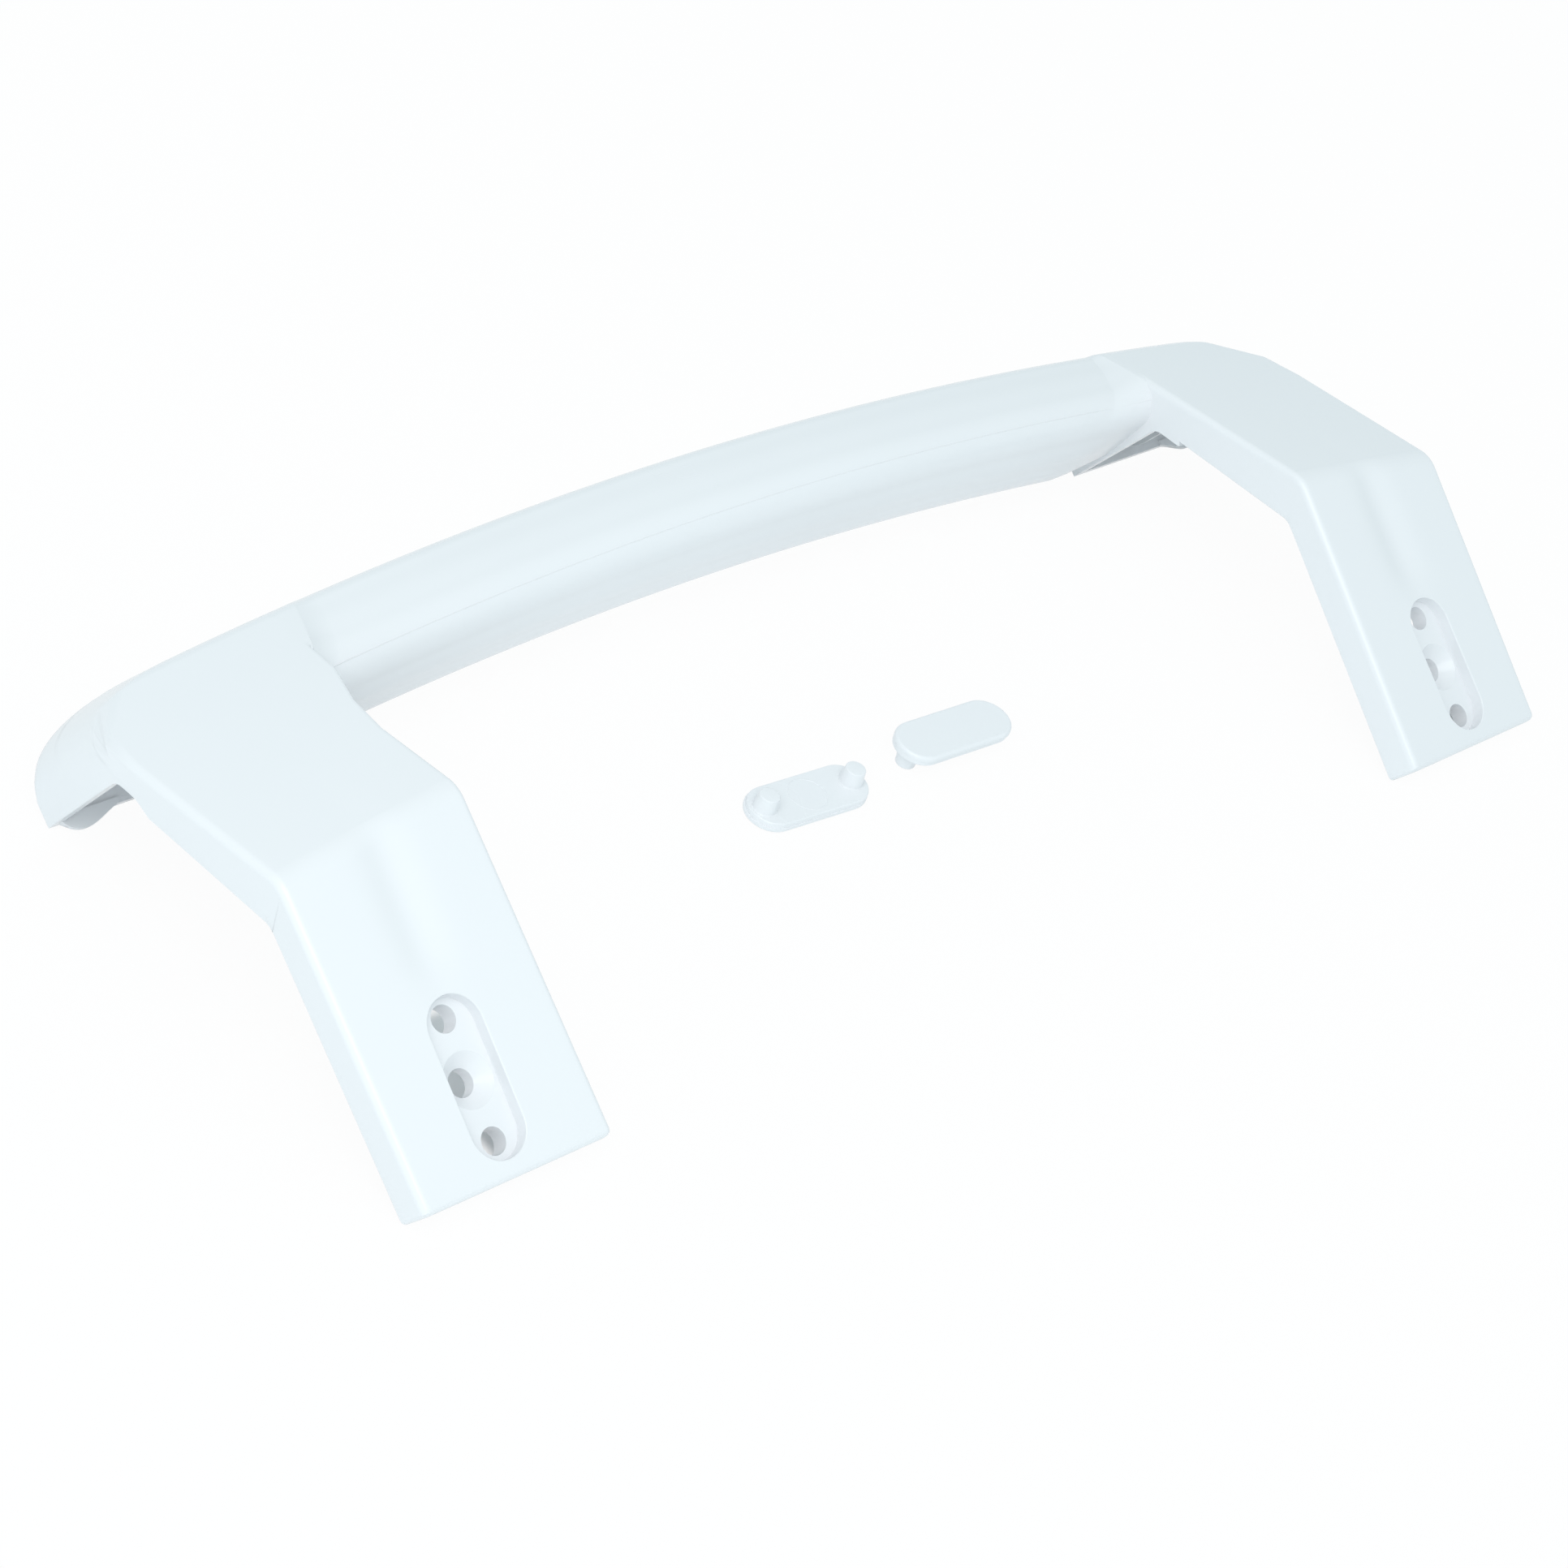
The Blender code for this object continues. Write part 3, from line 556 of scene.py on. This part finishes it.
def end_loft(side, inset=0.0, mouth=0.0):
    """One end as a solid, or the hollow inside its walls where inset is a wall."""
    detail.update(COARSE if inset else FINE)
    stations = end_stations()
    if inset:
        stations = stations[4:]
        start = Vector((inset, stations[0][0].y))
        down = stations[0][3]
        stations.insert(0, (start, Vector((0, 1)), Vector((inset, 0)), down, "plate"))
    flare = LEFT_FLARE if side < 0 and not inset else 0.0
    rings = [cross_ring(station, inset, mouth, flare) for station in stations]
    if inset:
        rings[-1] = [Vector((p.x, p.y - mouth, p.z)) for p in rings[-1]]
    bm = loft(rings)
    if side < 0:
        for vert in bm.verts:
            vert.co.x = -vert.co.x
        bmesh.ops.reverse_faces(bm, faces=bm.faces)
    return bm


def round_hull(circles, crowns):
    """Outline round a ring of circles (centre, radius), listed anticlockwise.

    Each crown is how far the straight run before that circle bulges outwards.
    """
    points = []
    count = len(circles)
    angles = []
    for i in range(count):
        (a, ra), (b, rb) = circles[i], circles[(i + 1) % count]
        gap = b - a
        lean = math.asin((ra - rb) / gap.length)
        angles.append(math.atan2(gap.y, gap.x) - math.pi / 2 + lean)
    rounds = []
    for i, (centre, radius) in enumerate(circles):
        start, end = angles[i - 1], angles[i]
        while end < start:
            end += 2 * math.pi
        turns = [start + (end - start) * k / detail["arc"] for k in range(detail["arc"] + 1)]
        rounds.append([centre + Vector((math.cos(t), math.sin(t))) * radius for t in turns])
    for i in range(count):
        a, b = rounds[i - 1][-1], rounds[i][0]
        out = Vector(((b - a).y, -(b - a).x)).normalized() * crowns[i]
        for k, point in enumerate(spread(a, b, detail["face"])):
            share = (k + 1) / (detail["face"] + 1)
            points.append(point + out * math.sin(math.pi * share) ** 2)
        points += rounds[i]
    return points


def near_far(y):
    """Share of the way over the bar's broad face, from its near edge to the far crest."""
    return clamp((y - NEAR_EDGE_Y) / (END_Y - NEAR_EDGE_Y))


def bar_section(shift, rise, inset):
    """Outline of the bar, with its broad face raised by a share of the shoulder's height."""
    slope = Vector((math.cos(ARM_SLOPE), -math.sin(ARM_SLOPE)))
    normal = Vector((math.sin(ARM_SLOPE), math.cos(ARM_SLOPE)))
    face = Vector((BEND_Y, PLATE_HEIGHT)) - normal * FLUSH_INSET
    far_y = END_Y - FLUSH_INSET
    near = face + slope * ((NEAR_EDGE_Y - face.x) / slope.x)
    crest = face + slope * ((far_y - face.x) / slope.x)
    near.y -= NEAR_DROP * (1 - rise) / normal.y
    crest.y -= FAR_DROP * (1 - rise) / normal.y
    back = FLUSH_INSET - BAR_BACK - BAR_OFF_DOOR * rise
    heel = Vector((END_Y - FLUSH_INSET - END_LEAN * (crest.y - back), back))
    nose = Vector((NOSE_Y + NOSE_ROUND + NOSE_SHIFT * shift, back + NOSE_ROUND))
    near_side = nose - Vector((NOSE_ROUND, 0))
    near_top = round_centre(near_side, near, crest, NEAR_EDGE_RADIUS)
    far_top = round_centre(near, crest, heel, CREST_ROUND)
    far_back = round_centre(crest, heel, SKIRT_END, HEEL_ROUND)
    circles = []
    middle = (nose + far_top) / 2
    for centre, radius in (
        (nose, NOSE_ROUND), (far_back, HEEL_ROUND),
        (far_top, CREST_ROUND), (near_top, NEAR_EDGE_RADIUS),
    ):
        keep = max(radius - inset, SMALLEST_ROUND)
        extra = max(inset - radius + keep, 0) * CORE_PULL
        circles.append((centre + (middle - centre).normalized() * extra, keep))
    flat = 0 if inset else 1 - rise
    return round_hull(circles, (NEAR_CROWN * flat, 0, 0, FACE_CROWN * flat))


def shoulder_edge(side, v, share):
    """How far in from the head a line on the step lies: share 0 at its foot, 1 at its top."""
    upper_near, upper_far, lower_near, lower_far = LEFT_SHOULDER if side < 0 else RIGHT_SHOULDER
    upper = upper_near + (upper_far - upper_near) * v ** UPPER_EDGE_POWER
    lower = lower_near + (lower_far - lower_near) * v ** LOWER_EDGE_POWER
    return HEAD_INNER - lower - (upper - lower) * share


def step_power(side):
    """Power that shapes the rise of a shoulder's step."""
    return LEFT_STEP_POWER if side < 0 else RIGHT_STEP_POWER


def nose_shift(reach):
    """Share of the nose's shift that the bar has at a distance from its middle."""
    return clamp((reach - (HEAD_INNER - NOSE_SHIFT_SPAN)) / NOSE_SHIFT_SPAN)


def bar_ring(side, reach, rise, inset):
    """One ring of the bar, where reach gives the distance from the middle for a share across."""
    ring = []
    for point in bar_section(nose_shift(reach(0)), rise, inset):
        x = side * reach(near_far(point.x))
        ring.append(Vector((x, point.x + bow(x), point.y)))
    return ring


def bar_half(side, inset, tail):
    """Rings of half the bar, from beside the middle to its root in the head."""
    rings = []
    for share in reversed(BAR_SHARES):
        def reach(v, share=share):
            return HEAD_INNER * share * 0.5 + shoulder_edge(side, v * share, 0) * share * 0.5
        rings.append(bar_ring(side, reach, 0.0, inset))
    for share in STEP_SHARES:
        rise = share ** step_power(side)
        rings.append(bar_ring(side, lambda v, k=share: shoulder_edge(side, v, k), rise, inset))
    for depth in (tail / 2, tail):
        rings.append(bar_ring(side, lambda v, k=depth: HEAD_INNER + k, 1.0, inset))
    return rings


def bar_loft(tail, inset):
    """The whole bar between its two roots, or its core where inset is a wall."""
    detail.update(COARSE if inset else FINE)
    middle = [Vector((0, p.x + bow(0), p.y)) for p in bar_section(0.0, 0.0, inset)]
    left, right = bar_half(-1, inset, tail), bar_half(1, inset, tail)
    return loft(list(reversed(left)) + [middle] + right)


def prism(outline, bottom, top, side):
    """Upright prism over an outline of (x, y) points."""
    return loft([[Vector((side * x, y, z)) for x, y in outline] for z in (bottom, top)])


def stadium(x, y, length, width, steps=ROUND_STEPS // 2):
    """Stadium outline with its long axis along y."""
    reach = (length - width) / 2
    points = []
    for end in (1, -1):
        for k in range(steps + 1):
            turn = math.pi * k / steps + (0 if end > 0 else math.pi)
            points.append((x + width / 2 * math.cos(turn),
                           y + end * reach + width / 2 * math.sin(turn)))
    return points


def circle(x, y, diameter):
    turns = [2 * math.pi * k / ROUND_STEPS for k in range(ROUND_STEPS)]
    return [(x + diameter / 2 * math.cos(t), y + diameter / 2 * math.sin(t)) for t in turns]


def rectangle(x0, y0, x1, y1):
    return [(x0, y0), (x1, y0), (x1, y1), (x0, y1)]


def long_rib(side):
    """Rib along the middle of the arm and head, a little short of the open rim."""
    detail.update(COARSE)
    stations = end_stations()[5:]
    bm = bmesh.new()
    skin = [s[0] - s[1] * (WALL - RIB_KEY) for s in stations]
    rim = [s[2] - s[3] * RIB_SHY for s in stations]
    skin[-1] = Vector((SKIRT_Y + RIB_SHY, skin[-1].y))
    outline = skin + [p for p in reversed(rim) if p.y > skin[-1].y + RIB_SHY]
    low, high = [], []
    for point in outline:
        y = point.x + bow(HALF_PITCH)
        low.append(bm.verts.new((side * (HALF_PITCH - RIB / 2), y, point.y)))
        high.append(bm.verts.new((side * (HALF_PITCH + RIB / 2), y, point.y)))
    count = len(outline)
    for i in range(count):
        j = (i + 1) % count
        bm.faces.new((low[i], low[j], high[j], high[i]))
    bm.faces.new(reversed(low))
    bm.faces.new(high)
    return bm


def toe(side):
    """Small lobe of the skirt's rim near its outer back corner, bevelled to clear the floor."""
    outer = outer_side(SKIRT_END.x, SKIRT_END.y, 0.0) - TOE_OUT
    rings = []
    for height, reach in ((RIB_KEY / 8, TOE_START), (TOE_TIP, 1.0), (TOE_TOP, 1.0)):
        ring = []
        for k in range(TOE_STEPS + 1):
            share = k / TOE_STEPS
            bulge = math.sin(math.pi * share ** TOE_SKEW) ** TOE_FULLNESS if 0 < share < 1 else 0
            dip = TOE_REACH * reach * bulge
            x = outer - TOE_LENGTH * (1 - share)
            ring.append(Vector((side * x, SKIRT_END.x + TOE_BITE - dip, height - HEAD_DEPTH)))
        for x in (outer, outer - TOE_LENGTH):
            ring.append(Vector((side * x, SKIRT_END.x + TOE_KEY, height - HEAD_DEPTH)))
        rings.append(ring)
    return loft(rings)


def foot_inside(side, tag):
    """Pan, bosses and cross ribs under one foot plate."""
    x = HALF_PITCH
    roof = PLATE_HEIGHT - WALL + RIB_KEY
    pan_floor = PLATE_HEIGHT - RECESS_DEPTH - RECESS_FLOOR
    pan = stadium(x, SCREW_Y, RECESS_LENGTH + 2 * RECESS_FLOOR, RECESS_WIDTH + 2 * RECESS_FLOOR)
    tools = [mesh_object(f"recess_pan_{tag}", prism(pan, pan_floor, roof, side))]
    boss_roof = pan_floor + RIB_KEY
    boss = prism(circle(x, SCREW_Y, SCREW_BOSS), 0, boss_roof, side)
    tools.append(mesh_object(f"screw_boss_{tag}", boss))
    for k, way in enumerate((-1, 1)):
        y = SCREW_Y + way * PEG_PITCH / 2
        low = PEG_BOSS_SHY if way > 0 else RIB_SHY
        boss = prism(circle(x, y, PEG_BOSS), low, boss_roof, side)
        tools.append(mesh_object(f"peg_boss_{tag}_{k}", boss))
    y = SCREW_Y + RECESS_LENGTH / 2 + CROSS_RIB_GAP
    inner = inner_side(y) + WALL - RIB_KEY
    outer = FOOT_OUTER + FOOT_SPLAY * y - WALL + RIB_KEY
    for k in range(2):
        rib = rectangle(inner, y - RIB / 2, outer, y + RIB / 2)
        tools.append(mesh_object(f"cross_rib_{tag}_{k}", prism(rib, RIB_SHY, roof, side)))
        y += CROSS_RIB_PITCH
    return tools


def recess_cut(x, floor, side):
    """Cutter for the cover's recess, with a small round at its mouth."""
    rows = [(floor, 0.0)]
    rows += [(PLATE_HEIGHT - drop + TOUCH, grow) for drop, grow in quarter(MOUTH_ROUND, 5)]
    rows.append((PLATE_HEIGHT + MOUTH, MOUTH))
    rings = []
    for z, grow in rows:
        outline = stadium(x, SCREW_Y, RECESS_LENGTH + 2 * grow, RECESS_WIDTH + 2 * grow)
        rings.append([Vector((side * px, py, z)) for px, py in outline])
    return loft(rings)


def foot_cuts(side, tag):
    """Recess, peg holes and countersunk screw hole of one foot."""
    x = HALF_PITCH
    floor = PLATE_HEIGHT - RECESS_DEPTH
    tools = [mesh_object(f"recess_cut_{tag}", recess_cut(x, floor, side))]
    slope = (SINK_TOP - SCREW_HOLE) / 2 / SINK_DEPTH
    rings = []
    for z, width in (
        (-MOUTH, SCREW_HOLE),
        (floor - SINK_DEPTH, SCREW_HOLE),
        (floor + OVERCUT, SINK_TOP + 2 * slope * OVERCUT),
    ):
        rings.append([Vector((side * px, py, z)) for px, py in circle(x, SCREW_Y, width)])
    tools.append(mesh_object(f"screw_cut_{tag}", loft(rings)))
    for k, way in enumerate((-1, 1)):
        spot = circle(x, SCREW_Y + way * PEG_PITCH / 2, PEG_HOLE)
        hole = prism(spot, -MOUTH, floor + OVERCUT, side)
        tools.append(mesh_object(f"peg_hole_{tag}_{k}", hole))
    return tools


def parting_share(side, x, v):
    """Share of the shoulder's rise at a place along the bar and across its broad face."""
    foot, top = shoulder_edge(side, v, 0), shoulder_edge(side, v, 1)
    return clamp((abs(x) - foot) / (top - foot)) ** step_power(side)


def parting_point(x):
    """Point and outward direction of the mould's parting line on the bar at x."""
    side = -1 if x < 0 else 1
    rise = parting_share(side, x, near_far(PARTING_Y))
    outline = bar_section(nose_shift(abs(x)), rise, 0.0)
    for i, a in enumerate(outline):
        b = outline[(i + 1) % len(outline)]
        if (a.x - PARTING_Y) * (b.x - PARTING_Y) <= 0 and a.y > -HEAD_DEPTH / 2 and a.x != b.x:
            point = a.lerp(b, (PARTING_Y - a.x) / (b.x - a.x))
            out = Vector(((b - a).y, -(b - a).x)).normalized()
            return Vector((x, point.x + bow(x), point.y)), Vector((0, out.x, out.y))
    raise ValueError("the parting line misses the bar")


def parting_line():
    """Fine raised line along the bar where the two halves of the mould met."""
    detail.update(FINE)
    half = PARTING_WIDTH / 2
    beside, low = PARTING_SHOULDER
    profile = ((-half, -half), (-half * beside, low), (0, 1), (half * beside, low), (half, -half))
    rings = []
    reach = HEAD_INNER + OVERCUT
    for k in range(2 * PARTING_STEPS + 1):
        x = reach * (k / PARTING_STEPS - 1)
        spot, out = parting_point(x)
        along = Vector((0, -out.z, out.y))
        rings.append([
            spot + along * s + out * (h if h < 0 else h * PARTING_HEIGHT) for s, h in profile
        ])
    bm = loft(rings)
    bmesh.ops.recalc_face_normals(bm, faces=bm.faces)
    return to_mesh("parting_line", bm)


def raw_handle():
    """The whole moulding as one mesh, cut the same way as the solid part but finer."""
    handle = mesh_object("handle_raw", bar_loft(BAR_OVERLAP, 0.0))
    tools = []

    def use(tool, operation):
        tools.append(tool)
        modifier = handle.modifiers.new(tool.name, "BOOLEAN")
        modifier.operation = operation
        modifier.solver = "EXACT"
        modifier.object = tool

    for side, tag in SIDES:
        use(mesh_object(f"end_{tag}", end_loft(side)), "UNION")
    for side, tag in SIDES:
        use(mesh_object(f"end_hollow_{tag}", end_loft(side, WALL, MOUTH)), "DIFFERENCE")
    use(mesh_object("bar_core", bar_loft(WALL + CORE_KEY, BAR_WALL)), "DIFFERENCE")
    for side, tag in SIDES:
        use(mesh_object(f"long_rib_{tag}", long_rib(side)), "UNION")
        use(mesh_object(f"toe_{tag}", toe(side)), "UNION")
        for tool in foot_inside(side, tag):
            use(tool, "UNION")
        for tool in foot_cuts(side, tag):
            use(tool, "DIFFERENCE")
    mesh = evaluated_mesh(handle)
    for obj in [handle] + tools:
        data = obj.data
        bpy.data.objects.remove(obj, do_unlink=True)
        bpy.data.meshes.remove(data)
    return mesh


def rest_place():
    """How the handle as modelled lies in the frame, told by the seat of its left foot."""
    seat = next(m for m in frame["record"]["mounts"] if m["name"] == "foot_seat_left")
    forward = seat["pos_m"][1] - math.cos(REST_ANGLE) * SCREW_Y
    return Matrix.Translation((0, forward, 0)) @ Matrix.Rotation(REST_ANGLE, 4, "X")


def smooth(obj):
    """Smooth shading that keeps flat faces flat, with its normals fixed in the mesh."""
    old = obj.data
    old.shade_smooth()
    old.set_sharp_from_angle(angle=SMOOTH_ANGLE)
    weighted = obj.modifiers.new("weighted", "WEIGHTED_NORMAL")
    weighted.keep_sharp = True
    weighted.weight = NORMAL_WEIGHT
    fixed = evaluated_mesh(obj)
    obj.modifiers.clear()
    obj.data = fixed
    bpy.data.meshes.remove(old)


def put_in(bm, name, material, node_name):
    """Make the finished piece from its mesh and let it stand in for the plain solid."""
    obj = add_object(name, to_mesh(name, bm))
    obj.data.materials.append(material)
    smooth(obj)
    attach(obj, "root")
    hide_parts(node_name)


def keep_inside(bm, name):
    """Ease the finer rounds in to the plain solid's box, which its own chords just touch."""
    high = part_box(name)[1]
    for vert in bm.verts:
        for axis in (1, 2):
            start = high[axis] - EASE
            over = max(vert.co[axis] - start, 0) / EASE
            if over:
                vert.co[axis] = start + EASE * math.tanh(over)


def dress_handle(material):
    bm = bmesh.new()
    for mesh in (raw_handle(), parting_line()):
        bm.from_mesh(mesh)
        bpy.data.meshes.remove(mesh)
    bmesh.ops.transform(bm, matrix=rest_place(), verts=bm.verts)
    keep_inside(bm, "handle")
    put_in(bm, "handle_skin", material, "handle")


def lathe(bm, centre, rows, steps):
    """Add a closed turned form about an upright axis, from its (radius, height) rows."""
    rings = []
    for radius, z in rows:
        rings.append([
            bm.verts.new((centre.x + radius * math.cos(math.tau * k / steps),
                          centre.y + radius * math.sin(math.tau * k / steps), z))
            for k in range(steps)
        ])
    for low, high in zip(rings, rings[1:]):
        for k in range(steps):
            j = (k + 1) % steps
            bm.faces.new((low[k], low[j], high[j], high[k]))


def cover_body():
    """Cover plate with its face up at z = 0, its mould halves a little out of line."""
    length = RECESS_LENGTH - 2 * COVER_CLEARANCE
    width = RECESS_WIDTH - 2 * COVER_CLEARANCE
    split = -COVER_THICKNESS / 2
    rows = [
        (-COVER_THICKNESS + rise, LEDGE + inset, LEDGE) for inset, rise in quarter(BASE_ROUND, 5)
    ]
    rows += [(split - LEDGE_SLOPE, LEDGE, LEDGE), (split, 0.0, 0.0)]
    rows += [(-drop, inset, 0.0) for drop, inset in quarter(COVER_EDGE, 8)]
    rings = []
    for z, inset, slip in rows:
        outline = stadium(0, 0, length - 2 * inset, width - 2 * inset, COVER_STEPS)
        rings.append([Vector((x, y + slip, z)) for x, y in outline])
    return loft(rings)


def dress_cover(name, turn, face_up, material):
    """Cover with its two pegs and the ring mark between them, laid where the solid lies."""
    bm = cover_body()
    base = -COVER_THICKNESS
    tip = base - PEG_LENGTH
    root_radius = PEG_HOLE / 2 - PEG_CLEARANCE
    tip_radius = root_radius - PEG_DRAFT
    for way in (-1, 1):
        rows = [(0.0, tip)]
        rows += [(tip_radius - inset, tip + rise) for inset, rise in quarter(PEG_ROUND, 4)]
        foot = root_radius - PEG_FOOT_SHY
        rows += [(foot + out, base - drop + TOUCH) for drop, out in quarter(PEG_FOOT, 5)]
        rows += [(foot, base + PEG_KEY), (0.0, base + PEG_KEY)]
        lathe(bm, Vector((0, way * PEG_PITCH / 2)), rows, PEG_STEPS)
    ring = [(RING_RADIUS + out, base + up) for out, up in RING_SECTION]
    lathe(bm, Vector((0, 0)), ring, RING_STEPS)
    tidy_faces(bm)
    lift = COVER_THICKNESS + PEG_LENGTH if face_up else 0.0
    spin = Euler((0 if face_up else math.pi, 0, turn + math.pi / 2)).to_matrix().to_4x4()
    low, high = (Vector(corner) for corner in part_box(name))
    middle = (low + high) / 2
    place = Matrix.Translation((middle.x, middle.y, lift)) @ spin
    bmesh.ops.transform(bm, matrix=place, verts=bm.verts)
    put_in(bm, name + "_skin", material, name)


def node(tree, kind, inputs=None, **values):
    """New node with its settings, and each named input linked to a socket or set to a value."""
    made = tree.nodes.new(kind)
    for key, value in values.items():
        setattr(made, key, value)
    for key, value in (inputs or {}).items():
        if isinstance(value, bpy.types.NodeSocket):
            tree.links.new(value, made.inputs[key])
        else:
            made.inputs[key].default_value = value
    return made


def maths(tree, operation, *values):
    """Result of a math node over sockets or numbers."""
    return node(tree, "ShaderNodeMath", dict(enumerate(values)), operation=operation).outputs[0]


def noise(tree, place, scale, levels):
    inputs = {"Vector": place, "Scale": scale, "Detail": levels}
    return node(tree, "ShaderNodeTexNoise", inputs).outputs["Fac"]


def object_place(tree):
    return node(tree, "ShaderNodeTexCoord").outputs["Object"]


def mix_shaders(tree, share, first, second, output):
    """Mix two shaders by a share and show the result at the named output node."""
    mix = node(tree, "ShaderNodeMixShader", {0: share, 1: first.outputs[0], 2: second.outputs[0]})
    tree.links.new(mix.outputs[0], tree.nodes[output].inputs["Surface"])


def new_material(name):
    """Material with its node tree and its one shader."""
    material = bpy.data.materials.new(name)
    material.use_nodes = True
    return material, material.node_tree, material.node_tree.nodes["Principled BSDF"]


def gloss_plastic(name, roughness):
    """White moulded plastic with a faint flow mottle and a very fine ripple in its gloss."""
    material, tree, shader = new_material(name)
    shader.inputs["Metallic"].default_value = 0.0
    shader.inputs["IOR"].default_value = 1.49
    place = object_place(tree)
    flow = noise(tree, place, scale=28.0, levels=3.0)
    tone = node(tree, "ShaderNodeMix", {
        "A": (*[c * FLOW_SHADE for c in WHITE], 1), "B": (*WHITE, 1), "Factor": flow,
    }, data_type="RGBA")
    tree.links.new(tone.outputs["Result"], shader.inputs["Base Color"])
    gloss = node(tree, "ShaderNodeMapRange", {
        "Value": flow,
        "To Min": roughness - ROUGHNESS_SPREAD,
        "To Max": roughness + ROUGHNESS_SPREAD,
    })
    tree.links.new(gloss.outputs["Result"], shader.inputs["Roughness"])
    ripple = noise(tree, place, scale=900.0, levels=2.0)
    bump = node(tree, "ShaderNodeBump", {
        "Height": ripple, "Strength": 0.06, "Distance": 0.05 * MM,
    })
    tree.links.new(bump.outputs["Normal"], shader.inputs["Normal"])
    return material


def band(tree, value, centre, half):
    """Mask that is one within half of the centre and falls to nothing over the fade."""
    size = maths(tree, "ABSOLUTE", maths(tree, "SUBTRACT", value, centre))
    return node(tree, "ShaderNodeMapRange", {
        "Value": size, "From Min": half, "From Max": half + SHADE_FADE, "To Min": 1, "To Max": 0,
    }, interpolation_type="SMOOTHSTEP").outputs["Result"]


def painted_shade_under_plates(tree):
    """Mask of the painted shade: two patches of floor below the foot plates, seen through their
    holes, where the floor's glow is cut.
    """
    axes = node(tree, "ShaderNodeSeparateXYZ", {0: object_place(tree)})
    in_y = band(tree, axes.outputs["Y"], SHADE_Y, SHADE_HALF_Y)
    left = band(tree, axes.outputs["X"], SHADE_LEFT_X, SHADE_HALF_X)
    right = band(tree, axes.outputs["X"], SHADE_RIGHT_X, SHADE_HALF_X)
    return maths(tree, "MULTIPLY", maths(tree, "ADD", left, right), in_y)


def floor_material():
    """Pale floor that shows almost white to the camera and keeps a soft shadow, with painted shade
    in two patches below the foot plates.
    """
    material, tree, shader = new_material("pale_floor")
    shader.inputs["Base Color"].default_value = (0.88, 0.9, 0.91, 1)
    shader.inputs["Roughness"].default_value = 0.9
    glow = node(tree, "ShaderNodeEmission", {"Strength": 1.0})
    rays = node(tree, "ShaderNodeLightPath").outputs
    seen = maths(tree, "MAXIMUM", rays["Is Camera Ray"], rays["Is Glossy Ray"])
    # painted shade: over the two patches under the foot plates the floor's glow drops from
    # FLOOR_GLOW to SHADE_GLOW
    lit = node(tree, "ShaderNodeMapRange", {
        "Value": painted_shade_under_plates(tree), "To Min": FLOOR_GLOW, "To Max": SHADE_GLOW,
    })
    share = maths(tree, "MULTIPLY", seen, lit.outputs["Result"])
    mix_shaders(tree, share, shader, glow, "Material Output")
    return material


def make_floor():
    """Large flat floor, a little below the object."""
    mesh = bpy.data.meshes.new("floor")
    reach = FLOOR_REACH
    corners = [(x, y, 0) for x, y in rectangle(-reach, -reach, reach, reach)]
    mesh.from_pydata(corners, [], [(0, 1, 2, 3)])
    floor = add_object("floor", mesh)
    floor.location.z = -FLOOR_DROP
    mesh.materials.append(floor_material())


def make_world():
    """Pale light from all round, which the camera sees as white."""
    world = bpy.data.worlds.new("studio")
    world.use_nodes = True
    bpy.context.scene.world = world
    tree = world.node_tree
    back = tree.nodes["Background"]
    back.inputs["Color"].default_value = (0.87, 1.0, 1.03, 1)
    back.inputs["Strength"].default_value = 0.76
    white = node(tree, "ShaderNodeBackground", {"Color": (1, 1, 1, 1), "Strength": 1.0})
    rays = node(tree, "ShaderNodeLightPath").outputs
    mix_shaders(tree, rays["Is Camera Ray"], back, white, "World Output")


def area_light(name, at, target, size, power, colour):
    light = bpy.data.lights.new(name, "AREA")
    light.color = colour
    light.shape = "RECTANGLE"
    light.size, light.size_y = size
    light.energy = power
    lamp = add_object(name, light)
    lamp.location = at
    lamp.rotation_euler = (Vector(target) - Vector(at)).to_track_quat("-Z", "Y").to_euler()


def make_lights():
    """Large lamp above the left end, and a weak one low in front for the walls."""
    area_light(
        "key", at=(-0.7, -0.35, 1.0), target=(0, 0, 0),
        size=(0.9, 0.9), power=5.9, colour=(1, 1, 1),
    )
    area_light(
        "front", at=(-0.6, -0.8, 0.15), target=(0, 0, 0.02),
        size=(0.8, 0.25), power=0.45, colour=(0.8, 1.0, 1.05),
    )


def make_camera():
    """Camera fitted to the photo."""
    data = bpy.data.cameras.new("camera")
    data.sensor_width = 36.0
    data.lens = 94.669
    camera = add_object("camera", data)
    camera.location = (-614.74 * MM, -384.11 * MM, 578.45 * MM)
    camera.rotation_euler = Euler([math.radians(d) for d in (48.1919, -18.0488, -42.0635)])
    bpy.context.scene.camera = camera


bpy.context.scene.view_settings.view_transform = "Standard"
dress_handle(gloss_plastic("handle_white", HANDLE_ROUGHNESS))
cover = gloss_plastic("cover_white", COVER_ROUGHNESS)
dress_cover("screw_cover_left", LEFT_COVER_TURN, False, cover)
dress_cover("screw_cover_right", RIGHT_COVER_TURN, True, cover)
make_floor()
make_world()
make_lights()
make_camera()
